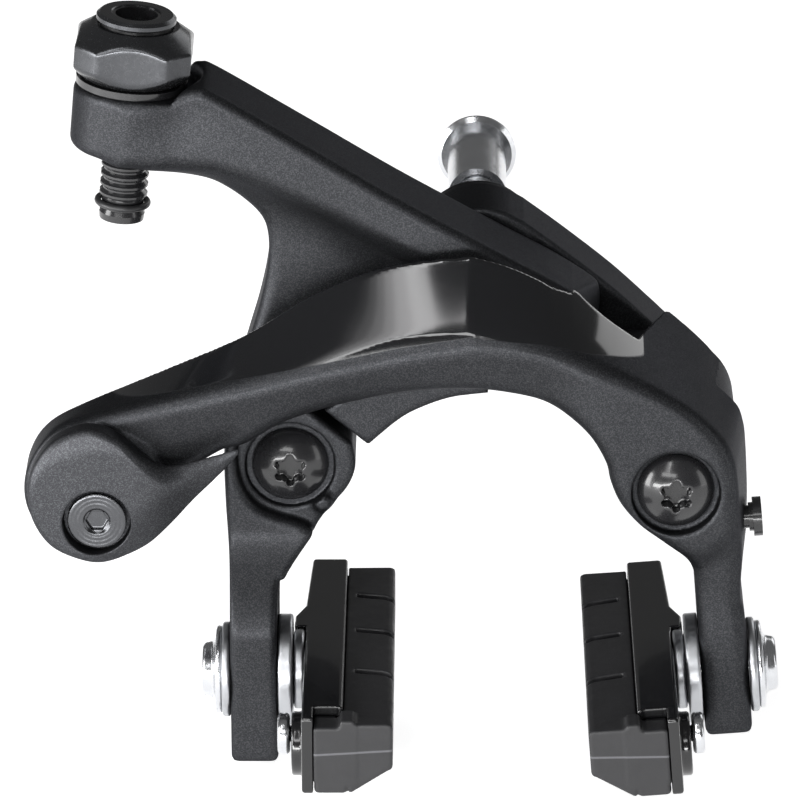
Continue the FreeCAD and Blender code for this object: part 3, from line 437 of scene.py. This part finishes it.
def bridge_piece():
    """Plate behind the arms that carries both pivots and the mounting boss."""
    b = Block((-33, -27.5, -31.2), (35, 0.4, 8.6))
    plate = outline(
        [(-6.5, 4.4), (-4.6, 6.3), (0.0, 7.8), (3.2, 7.4), (5.9, 6.1)],
        [(5.9, 6.1), (11.3, 2.0), (17.9, -3.4), (23.7, -8.9)],
        [(23.7, -8.9), (28.4, -13.8), (31.6, -19.0), (31.8, -26.0), (28.0, -30.0), (22.0, -30.4)],
        [(22.0, -30.4), (17.2, -27.0), (13.5, -20.5), (7.0, -16.2), (0.0, -15.0), (-7.0, -16.2),
         (-13.0, -19.5), (-16.6, -25.0)],
        [(-16.6, -25.0), (-20.0, -29.0), (-27.0, -30.2), (-32.0, -25.0), (-32.0, -20.0), (-27.0, -14.0)],
        [(-27.0, -14.0), (-18.0, -6.5), (-10.0, 1.0), (-6.5, 4.4)])
    body = b.slab(b.flat(plate), BRIDGE_FRONT, BRIDGE_BACK, 0.5)
    body = join(body, b.slab(b.disc((0, 0), 7.9), BRIDGE_FRONT, 0.0, 0.5), 0.6)
    body = join(body, b.slab(b.disc(RIGHT, 8.8), BOSS_FRONT, BRIDGE_BACK, 0.6), 0.8)
    web = outline([(-20.2, -14.3), (-14.4, -19.2)],
                  [(-14.4, -19.2), (-10.9, -16.05), (-8.2, -14.3), (-3.8, -12.6), (1.2, -11.9)],
                  [(1.2, -11.9), (1.2, -5.5)], [(1.2, -5.5), (-7.0, -5.5), (-13.0, -8.5), (-20.2, -14.3)])
    body = join(body, b.slab(b.flat(web), -27.2, -11.0, 0.7), 2.0)
    for centre in (LEFT, RIGHT):
        body = cut(body, b.slab(b.disc(centre, 2.55), -40.0, 1.0), 0.2)
    body = cut(body, b.slab(b.disc((0, 0), 3.65), -40.0, 1.0), 0.2)
    body = cut(body, b.slab(b.disc((0, 0), 6.0), -40.0, -8.4), 0.3)
    return mesh_from_field("bridge_body", b, body)


def frame_at(origin, axes=((1, 0, 0), (0, 1, 0), (0, 0, 1))):
    """Matrix that puts a piece's own axes at the origin given."""
    m = np.eye(4)
    m[:3, :3] = np.array(axes, float).T
    m[:3, 3] = origin
    return m


SHOES = {
    "left": frame_at(LEFT_SHOE),
    "right": frame_at(RIGHT_SHOE, ((-math.cos(SPLAY), 0, -math.sin(SPLAY)), (0, 1, 0),
                                   (-math.sin(SPLAY), 0, math.cos(SPLAY))))}
KNOB = frame_at(ADJUSTER, ((math.cos(TILT), 0, -math.sin(TILT)), (0, 1, 0), UPWARD))


# --- brake shoes: X runs from the arm's inner face towards the rim, Z is up ----------------------
def shoe_holder(name, place):
    """Channel that the rubber pad slides into, open at its near end."""
    b = Block((1.7, -26.8, -6.4), (9.5, 26.8, 5.7), FINE)
    x, y, z = b.x, b.y, b.z
    plan = outline([(4.25, 26.0), (8.8, 26.0)], [(8.8, 26.0), (8.8, -26.0)], [(8.8, -26.0), (3.5, -26.0)],
                   [(3.5, -26.0), (3.5, 1.2)], [(3.5, 1.2), (2.05, 2.6)], [(2.05, 2.6), (2.05, 6.4)],
                   [(2.05, 6.4), (3.4, 9.9)], [(3.4, 9.9), (4.05, 25.0), (4.25, 26.0)])
    r = np.where(y < 0, 0.6, 1.3)
    length, height = np.abs(y) - 26.0 + r, np.maximum(z - 4.9, -5.85 - z) + r
    corner = np.hypot(np.maximum(length, 0), np.maximum(height, 0))
    section = np.minimum(np.maximum(length, height), 0) + corner - r
    body = rounded(polygon(x[:, :, 0], y[:, :, 0], plan)[:, :, None], section, 0.45)
    body = join(body, b.rod((0, -18.5, -2.1), (1, 0, 0), 4.15, 2.1, 5.0, 0.4), 0.3)
    body = cut(body, b.rod((0, 0, 0), (1, 0, 0), 5.5, -5.0, 3.5), 0.3)
    body = cut(body, b.rod((0, 0, 0), (1, 0, 0), 3.1, -5.0, 6.0), 0.0)
    body = cut(body, b.brick((5.0, -40.0, -4.2), (8.05, 24.4, 3.5)), 0.2)
    body = cut(body, b.brick((7.8, -40.0, -3.5), (12.0, 24.4, 2.8)), 0.2)
    body = cut(body, b.brick((5.0, -40.0, -9.0), (8.1, -22.2, 9.0), 0.2), 0.2)
    body = cut(body, b.brick((7.9, -40.0, -9.0), (12.0, -22.4, 9.0), 0.2), 0.2)
    return mesh_from_field(name, b, body, place)


def brake_pad(name, place):
    """Rubber pad: rail, end stop and grooved block, with the mould's parting line kept as a mask for a
    painted highlight.
    """
    b = Block((4.7, -26.6, -6.1), (15.7, 25.2, 5.3), FINE)
    x, y, z = b.x, b.y, b.z
    rail = b.brick((5.1, -25.9, -4.05), (7.9, 24.2, 3.35), 0.2)
    stop = b.brick((5.1, -26.0, -5.8), (9.4, -22.3, 3.5), 0.6)
    wedge = outline([(8.9, 3.9), (14.5, 3.95)], [(14.5, 3.95), (15.05, 3.75), (15.2, 3.3)],
                    [(15.2, 3.3), (15.2, -2.0)],
                    [(15.2, -2.0), (15.0, -2.4), (14.6, -2.6)], [(14.6, -2.6), (9.95, -5.65)],
                    [(9.95, -5.65), (9.6, -5.6), (9.45, -4.7), (9.1, -3.9)], [(9.1, -3.5), (8.9, 3.9)])
    block = rounded(b.flat(wedge), np.maximum(-25.9 - y, y - 24.6), 0.35)
    neck = b.brick((7.7, -25.9, -3.4), (9.4, 24.2, 2.7), 0.1)
    shoulder = meet(b.brick((8.5, -25.9, -4.3), (10.2, -22.4, 4.5), 0.3), b.flat(wedge) - 0.6, 0.3)
    body = join(join(rail, stop, 0.3), join(block, neck, 0.4), 0.5)
    body = join(body, shoulder, 0.8)
    for start in (15.2, 3.9, -9.1):
        across = np.abs(y - start + 0.22 * (x - 10.4) + 0.55 * ramp(x, 13.6, 15.2)) - 0.62
        deep = np.maximum(2.3 - z, 10.2 - x)
        side = np.maximum(13.9 - x, np.abs(z - 1.5) - 3.4)
        body = cut(body, rounded(across, np.minimum(deep, side), 0.25), 0.35)
    body = np.maximum(body, -25.95 - y)
    # Where the parting line runs, for a painted highlight that stands in for light on its fine ridge.
    seam_highlight = np.where(y < -25.4, z + 0.3 - 0.06 * (x - 5.0), 9.0)
    return mesh_from_field(name, b, body, place, {"seam_highlight": seam_highlight})


def retaining_screw(name, place):
    """Small socket screw that keeps the pad in its holder."""
    b = Block((0.0, -21.6, -3.9), (4.9, -15.4, 2.5), FINE * 0.8)
    head = b.rod((0, -18.5, -0.7), (1, 0, 0), 2.7, 0.3, 1.9, 0.55)
    body = join(head, b.rod((0, -18.5, -0.7), (1, 0, 0), 1.0, 1.5, 4.7), 0.2)
    socket = np.maximum(hexagon(b.z + 0.7, b.y + 18.5, 2.0), b.x - 1.2)
    return mesh_from_field(name, b, cut(body, socket, 0.15), place)


def shoe_bolt(name, place):
    """Socket bolt with a flange that clamps the shoe to its leg."""
    b = Block((-10.6, -6.4, -6.4), (5.3, 6.4, 6.4), FINE)
    profile = [(-10.0, -1.0), (-10.0, 3.2), (-9.7, 3.5), (-8.7, 3.75), (-8.4, 4.15), (-8.2, 5.6), (-8.0, 5.8),
               (-7.6, 5.8), (-7.42, 5.65), (-7.42, 3.0), (4.6, 3.0), (4.9, 2.7), (4.9, -1.0)]
    body = b.turned((0, 0, 0), (1, 0, 0), profile)
    socket = np.maximum(hexagon(b.z, b.y, 4.0), b.x + 7.3)
    return mesh_from_field(name, b, cut(body, socket, 0.2), place)


def washer(name, place, profile, hole, dish=None):
    """Turned washer, with a hollow seat for the ball when dish gives its radius."""
    along = [p[0] for p in profile]
    b = Block((min(along) - 0.5, -7.8, -7.8), (max(along) + 0.5, 7.8, 7.8), FINE)
    body = b.turned((0, 0, 0), (1, 0, 0), profile)
    body = cut(body, np.hypot(b.y, b.z) - hole, 0.2)
    if dish:
        body = cut(body, np.sqrt((b.x - BALL_CENTRE)**2 + b.y**2 + b.z**2) - dish, 0.0)
    return mesh_from_field(name, b, body, place)


# Washer profiles: distance along the bolt from the arm's inner face, and radius.
OUTER = [(-7.4, -1.0), (-7.4, 6.0), (-7.15, 6.25), (-6.5, 6.25), (-6.28, 6.0), (-6.28, -1.0)]
CONVEX = [(0.06, -1.0), (0.06, 7.15), (0.22, 7.3), (1.7, 7.3), (1.9, 7.1), (1.9, 4.8), (2.35, 3.6),
          (2.8, 2.0), (2.9, -1.0)]
CONCAVE = [(2.05, -1.0), (2.05, 5.0), (2.25, 5.2), (3.2, 5.2), (3.43, 4.95), (3.43, -1.0)]


def knob_piece():
    """Square adjuster knob with cut corners and hollowed flats."""
    b = Block((-9.2, -9.2, 0.6), (9.2, 9.2, 8.6), FINE)
    x, y = b.x, b.y
    hollow = 0.3
    flats = np.maximum(np.abs(x) - 7.6 + hollow * (1 - np.clip(y / 5.0, -1, 1)**2),
                       np.abs(y) - 7.6 + hollow * (1 - np.clip(x / 5.0, -1, 1)**2))
    flats = np.maximum(flats, (np.abs(x) + np.abs(y)) * 0.7071 - 8.65)
    cone = b.turned((0, 0, 0), (0, 0, 1), [(1.0, -1.0), (1.0, 6.6), (3.0, 8.9), (5.9, 8.9), (8.15, 5.6),
                                           (8.15, -1.0)])
    body = meet(flats, cone, 0.45)
    body = cut(body, b.rod((0, 0, 0), (0, 0, 1), 4.9, 7.2, 12.0), 0.25)
    body = cut(body, b.rod((0, 0, 0), (0, 0, 1), 3.25, -5.0, 12.0), 0.0)
    return mesh_from_field("adjuster_knob", b, body, KNOB)


def pivot_bolt(name, centre, seat, bridge_face):
    """Domed bolt with a six-lobed socket, a shoulder and a threaded end in the bridge."""
    b = Block((centre[0] - 5.6, seat - 3.4, centre[1] - 5.6), (centre[0] + 5.6, -1.2, centre[1] + 5.6),
              0.15)
    x, y, z = b.x - centre[0], b.y, b.z - centre[1]
    h = seat - 0.05 - y
    head = b.slab(b.disc(centre, 5.2), seat - 3.1, seat - 0.05, 0.25)
    head = meet(head, np.sqrt(x * x + z * z + (h + 3.2)**2) - 6.2, 0.6)
    lobes = np.hypot(x, z) - 1.55
    for i in range(6):
        a = math.radians(60 * i + 30)
        lobes = join(lobes, np.hypot(x - 1.68 * math.cos(a), z - 1.68 * math.sin(a)) - 0.46, 0.3)
    head = cut(head, np.maximum(lobes, 0.8 - h), 0.2)
    body = join(head, b.slab(b.disc(centre, 3.0), seat - 0.5, bridge_face - 0.05), 0.0)
    body = join(body, b.slab(b.disc(centre, 2.5), bridge_face - 0.5, BRIDGE_BACK), 0.0)
    return mesh_from_field(name, b, body)


def release_screw_piece():
    """Flat socket screw in the middle of the lever."""
    b = Block((RELEASE[0] - 4.1, -39.9, RELEASE[1] - 4.1), (RELEASE[0] + 4.1, -32.0, RELEASE[1] + 4.1),
              0.12)
    x, z = b.x - RELEASE[0], b.z - RELEASE[1]
    r = np.hypot(x, z)
    face = -39.5 + 0.35 * ramp(-r, -2.0, -1.3) + 0.04 * np.cos(r * 12.0)
    head = b.slab(b.disc(RELEASE, 3.8), -39.6, -38.05, 0.25)
    head = meet(head, face - b.y, 0.2)
    head = cut(head, np.maximum(hexagon(z, x, 2.5), b.y + 38.6), 0.12)
    body = join(head, b.slab(b.disc(RELEASE, 1.6), -38.3, -32.3), 0.0)
    return mesh_from_field("release_screw_body", b, body)


def show(piece, body, slot, *replaced):
    """Hang a piece on its moving body in place of the plain parts that it stands for."""
    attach(piece, body)
    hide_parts(*replaced)
    return piece


paint_pieces = [show(upper_arm_piece(), "upper_arm", "arm_paint", "upper_arm"),
                show(bridge_piece(), "frame", "arm_paint", "bridge")]
lower = show(lower_arm_piece(), "lower_arm", "arm_paint", "lower_arm")
lever = show(lever_piece(), "quick_release", "lever_grey", "quick_release_lever")
knob = show(knob_piece(), "adjuster_nut", "adjuster_grey", "adjuster_nut")
release_screw = show(release_screw_piece(), "quick_release", "release_steel", "release_screw")
bolts = [show(pivot_bolt("left_pivot_bolt_body", LEFT, LEFT_SEAT, BRIDGE_FRONT), "frame", "bolt_black",
              "left_pivot_bolt"),
         show(pivot_bolt("right_pivot_bolt_body", RIGHT, RIGHT_SEAT, BOSS_FRONT), "frame", "bolt_black",
              "right_pivot_bolt")]
holders, pads, silver_pieces, washers = [], [], [], []
for side, place in SHOES.items():
    shoe, bolt = side + "_shoe", side + "_shoe_bolt"
    holders.append(show(shoe_holder(side + "_holder_body", place), shoe, "shoe_black", side + "_shoe_holder"))
    pads.append(show(brake_pad(side + "_pad_body", place), shoe, "pad_rubber", side + "_brake_pad"))
    silver_pieces.append(show(retaining_screw(side + "_retaining_screw_body", place), shoe, "fastener_silver",
                              side + "_pad_retaining_screw"))
    silver_pieces.append(show(shoe_bolt(side + "_shoe_bolt_body", place), bolt, "fastener_silver",
                              side + "_shoe_bolt"))
    washers.append(show(washer(side + "_outer_washer_body", place, OUTER, BOLT_HOLE), bolt, "washer_steel",
                        side + "_outer_washer"))
    washers.append(show(washer(side + "_convex_washer_body", place, CONVEX, BOLT_HOLE), bolt, "washer_steel",
                        side + "_convex_washer"))
    washers.append(show(washer(side + "_concave_washer_body", place, CONCAVE, BOLT_HOLE, BALL_SEAT), shoe,
                        "washer_steel", side + "_concave_washer"))


# --- materials, all in object coordinates (metres) ------------------------------------------------
class Nodes:
    """Short way to build a material's node tree."""

    def __init__(self, name, colour, rough, metal=0.0, coat=0.0, coat_rough=0.05):
        self.material = bpy.data.materials.new(name)
        self.material.use_nodes = True
        self.tree = self.material.node_tree
        self.shader = self.tree.nodes["Principled BSDF"]
        self.shader.inputs["Base Color"].default_value = (*colour, 1)
        self.shader.inputs["Roughness"].default_value = rough
        self.shader.inputs["Metallic"].default_value = metal
        self.shader.inputs["Coat Weight"].default_value = coat
        self.shader.inputs["Coat Roughness"].default_value = coat_rough
        self.place = self.add("ShaderNodeTexCoord").outputs["Object"]

    def add(self, kind, **settings):
        """New node with its settings."""
        node = self.tree.nodes.new(kind)
        for key, value in settings.items():
            setattr(node, key, value)
        return node

    def put(self, socket, value):
        """Link another node's output to a socket, or give it a plain value."""
        if isinstance(value, bpy.types.NodeSocket):
            self.tree.links.new(value, socket)
        elif isinstance(value, tuple) and socket.type == "RGBA":
            socket.default_value = (*value, 1)
        else:
            socket.default_value = value

    def noise(self, scale, detail=3.0, rough=0.5):
        node = self.add("ShaderNodeTexNoise")
        node.inputs["Scale"].default_value = scale
        node.inputs["Detail"].default_value = detail
        node.inputs["Roughness"].default_value = rough
        self.put(node.inputs["Vector"], self.place)
        return node.outputs["Fac"]

    def cells(self, scale):
        """A random colour for each small cell."""
        node = self.add("ShaderNodeTexVoronoi")
        node.inputs["Scale"].default_value = scale
        self.put(node.inputs["Vector"], self.place)
        return node.outputs["Color"]

    def spread(self, value, low, high, to_low, to_high):
        """Value moved from one range to another, clamped at both ends."""
        node = self.add("ShaderNodeMapRange")
        for socket, v in zip(node.inputs[:5], (value, low, high, to_low, to_high)):
            self.put(socket, v)
        return node.outputs["Result"]

    def mix(self, factor, a, b):
        """Mix of two colours."""
        node = self.add("ShaderNodeMix", data_type="RGBA")
        for socket, v in zip((node.inputs[0], node.inputs[6], node.inputs[7]), (factor, a, b)):
            self.put(socket, v)
        return node.outputs[2]

    def blend(self, factor, a, b):
        """Mix of two plain numbers."""
        node = self.add("ShaderNodeMix", data_type="FLOAT")
        self.put(node.inputs[0], factor)
        self.put(node.inputs[2], a)
        self.put(node.inputs[3], b)
        return node.outputs[0]

    def math(self, operation, a, b):
        node = self.add("ShaderNodeMath", operation=operation)
        self.put(node.inputs[0], a)
        self.put(node.inputs[1], b)
        return node.outputs[0]

    def bump(self, height, distance, strength=1.0):
        node = self.add("ShaderNodeBump")
        node.inputs["Strength"].default_value = strength
        node.inputs["Distance"].default_value = distance
        self.put(node.inputs["Height"], height)
        self.put(self.shader.inputs["Normal"], node.outputs["Normal"])

    def set(self, **values):
        """Give the shader its inputs, with _ for each space in their names."""
        for key, value in values.items():
            self.put(self.shader.inputs[key.replace("_", " ")], value)
        return self.material


def satin_paint(name, dark, light, panel=False):
    """Charcoal paint with fine metal flake and satin roughness, with a gloss coat over the panel when panel
    is set.
    """
    n = Nodes(name, dark, 0.45, 0.9)
    n.set(Specular_Tint=(0.45, 0.45, 0.46))
    flake = n.add("ShaderNodeSeparateColor")
    n.put(flake.inputs[0], n.cells(9500.0))
    glint = n.spread(flake.outputs[0], 0.45, 1.0, 0.0, 0.8)
    grain = n.noise(9000.0, 2.0)
    colour = n.mix(glint, dark, light)
    colour = n.mix(n.spread(n.noise(60.0), 0.3, 0.7, 0.0, 0.16), colour, (0.015, 0.0155, 0.0165))
    rough = n.spread(flake.outputs[1], 0.0, 1.0, 0.38, 0.5)
    height = n.math("ADD", grain, n.math("MULTIPLY", flake.outputs[2], 0.8))
    if not panel:
        n.bump(height, 0.00002, 0.4)
        return n.set(Base_Color=colour, Roughness=rough)
    layer = n.add("ShaderNodeAttribute", attribute_name="panel")
    gloss = n.spread(layer.outputs["Fac"], -0.06, 0.06, 0.0, 1.0)
    smear = n.spread(n.noise(180.0), 0.35, 0.7, 0.08, 0.12)
    n.bump(n.math("MULTIPLY", height, n.spread(gloss, 0.0, 1.0, 1.0, 0.0)), 0.00002, 0.4)
    inverse = n.spread(gloss, 0.0, 1.0, 0.9, 0.0)
    return n.set(Base_Color=n.mix(gloss, colour, (0.006, 0.0062, 0.007)), Metallic=inverse,
                 Roughness=n.blend(gloss, rough, smear), Coat_Weight=gloss,
                 Coat_Roughness=0.09)


def bright_steel(name, colour, low, high, metal=1.0):
    """Bare or plated metal with a fine grain."""
    n = Nodes(name, colour, low, metal)
    streak = n.noise(1500.0, 3.0, 0.6)
    tone = n.mix(n.spread(n.noise(350.0), 0.35, 0.7, 0.0, 0.35), colour, tuple(c * 0.72 for c in colour))
    n.bump(streak, 0.00001, 0.12)
    return n.set(Base_Color=tone, Roughness=n.spread(streak, 0.3, 0.75, low, high))


def gloss_black(name, colour, low, high):
    """Glossy black plating or plastic."""
    n = Nodes(name, colour, low, coat=0.4, coat_rough=0.06)
    n.bump(n.noise(700.0, 2.0), 0.00001, 0.08)
    tone = n.mix(n.spread(n.noise(140.0), 0.3, 0.75, 0.0, 0.5), colour, tuple(c * 1.5 for c in colour))
    return n.set(Base_Color=tone, Roughness=n.spread(n.noise(420.0), 0.3, 0.7, low, high))


def moulded(name, colour, low, high, grain=2600.0, seam_highlighted=False):
    """Matt rubber or plastic; where the mesh carries a parting line, a painted highlight makes it paler."""
    n = Nodes(name, colour, high)
    n.bump(n.noise(grain, 4.0, 0.6), 0.00005, 0.4)
    tone = n.mix(n.spread(n.noise(220.0), 0.3, 0.7, 0.0, 0.5), colour, tuple(c * 1.45 for c in colour))
    if seam_highlighted:
        line = n.add("ShaderNodeAttribute", attribute_name="seam_highlight").outputs["Fac"]
        # Painted highlight: the colour is seven times paler along the parting line, where its fine ridge
        # would catch the light.
        near = n.spread(n.math("ABSOLUTE", line, 0.0), 0.08, 0.2, 0.8, 0.0)
        tone = n.mix(near, tone, tuple(c * 7 for c in colour))
    return n.set(Base_Color=tone, Roughness=n.spread(n.noise(500.0), 0.3, 0.7, low, high))


ARM_DARK = (0.031, 0.032, 0.035)
ARM_LIGHT = (0.078, 0.08, 0.085)
finish = {
    "arm_paint": satin_paint("arm_paint", ARM_DARK, ARM_LIGHT),
    "arm_paint_panel": satin_paint("arm_paint_panel", ARM_DARK, ARM_LIGHT, True),
    "lever_grey": satin_paint("lever_grey", (0.045, 0.046, 0.050), (0.11, 0.113, 0.12)),
    "adjuster_grey": bright_steel("adjuster_grey", (0.075, 0.077, 0.082), 0.2, 0.32, 0.9),
    "fastener_silver": bright_steel("fastener_silver", (0.68, 0.69, 0.71), 0.16, 0.28),
    "washer_steel": bright_steel("washer_steel", (0.5, 0.51, 0.53), 0.28, 0.45),
    "bolt_black": gloss_black("bolt_black", (0.012, 0.012, 0.013), 0.2, 0.3),
    "release_steel": bright_steel("release_steel", (0.1, 0.102, 0.108), 0.2, 0.34),
    "spring_steel": bright_steel("spring_steel", (0.55, 0.56, 0.58), 0.2, 0.35),
    "bushing_polymer": moulded("bushing_polymer", (0.03, 0.03, 0.032), 0.35, 0.55),
    "black_plastic": gloss_black("black_plastic", (0.011, 0.011, 0.012), 0.16, 0.3),
    "shoe_black": gloss_black("shoe_black", (0.005, 0.005, 0.0055), 0.12, 0.22),
    "pad_rubber": moulded("pad_rubber", (0.017, 0.017, 0.0185), 0.42, 0.6, 1800.0, True),
    "seal_rubber": moulded("seal_rubber", (0.015, 0.015, 0.016), 0.3, 0.5),
}
slots = {row["node"]: row["material_slot"] for row in frame["record"]["subparts"]}
for name, node in nodes.items():
    node.data.materials.clear()
    node.data.materials.append(finish[slots[name]])
    bevel = node.modifiers.new("edges", "BEVEL")
    bevel.width = EDGE_WIDTH
    bevel.segments = 2
    bevel.limit_method = "ANGLE"
    bevel.angle_limit = math.radians(40)
    bevel.use_clamp_overlap = True
for group, slot in ((paint_pieces, "arm_paint"), ([lower], "arm_paint_panel"), ([lever], "lever_grey"),
                    ([knob], "adjuster_grey"), ([release_screw], "release_steel"), (bolts, "bolt_black"),
                    (holders, "shoe_black"), (pads, "pad_rubber"), (silver_pieces, "fastener_silver"),
                    (washers, "washer_steel")):
    for piece in group:
        piece.data.materials.append(finish[slot])


# --- camera, light and floor ------------------------------------------------------------------------
def camera():
    """Camera at the photograph's viewing angle."""
    data = bpy.data.cameras.new("camera")
    data.lens = 270
    data.sensor_width = 36
    data.shift_x = -0.05
    data.clip_end = 20
    thing = bpy.data.objects.new("camera", data)
    thing.location = (-0.005060, -0.749051, 0.278938)
    thing.rotation_euler = (math.radians(68), 0, 0)
    bpy.context.scene.collection.objects.link(thing)
    bpy.context.scene.camera = thing


LIT = Vector((0.0, -0.02, -0.015))  # the point that all lights face


def softbox(name, direction, distance, size, size_y, power):
    """Rectangular light that faces the lit point from a direction."""
    data = bpy.data.lights.new(name, "AREA")
    data.energy = power
    data.shape = "RECTANGLE"
    data.size = size
    data.size_y = size_y
    thing = bpy.data.objects.new(name, data)
    way = Vector(direction).normalized()
    thing.location = LIT + way * distance
    thing.rotation_euler = (-way).to_track_quat("-Z", "Y").to_euler()
    bpy.context.scene.collection.objects.link(thing)


def floor():
    """Plain pale floor under the feet of the legs."""
    half, z = 4.0, FLOOR_Z
    mesh = bpy.data.meshes.new("floor")
    corners = [(-half, -half, z), (half, -half, z), (half, half, z), (-half, half, z)]
    mesh.from_pydata(corners, [], [(0, 1, 2, 3)])
    thing = bpy.data.objects.new("floor", mesh)
    bpy.context.scene.collection.objects.link(thing)
    n = Nodes("pale_floor", (0.92, 0.92, 0.92), 0.9)
    pale = n.mix(n.noise(3.0), (0.92, 0.92, 0.92), (0.9, 0.9, 0.905))
    n.set(Base_Color=pale, Emission_Color=(1.0, 1.0, 1.0), Emission_Strength=0.75)
    mesh.materials.append(n.material)


camera()
floor()
world = bpy.data.worlds.new("world")
world.use_nodes = True
world.node_tree.nodes["Background"].inputs[0].default_value = (1, 1, 1, 1)
world.node_tree.nodes["Background"].inputs[1].default_value = 0.13
bpy.context.scene.world = world
# The key light is a row of strips that get brighter, so that its reflection fades to one side.
for i in range(6):
    softbox("key_%d" % (i + 1), (-0.40 + 0.045 * i, -0.57, 0.775), 0.8, 0.036, 0.40, 0.0095 * (i + 1)**2)
softbox("front_low", (-0.45, -1.0, 0.06), 0.72, 0.8, 0.10, 5.0)
softbox("front_high", (-0.25, -0.84, 0.56), 0.8, 0.5, 0.12, 1.2)
softbox("back_right", (0.55, 0.80, 0.42), 0.8, 0.4, 0.4, 0.7)
softbox("side_left", (-1.0, -0.30, 0.05), 0.7, 0.3, 0.6, 6.0)
softbox("side_right", (1.0, -0.35, 0.10), 0.7, 0.2, 0.6, 0.7)
bpy.context.scene.view_settings.view_transform = "Standard"
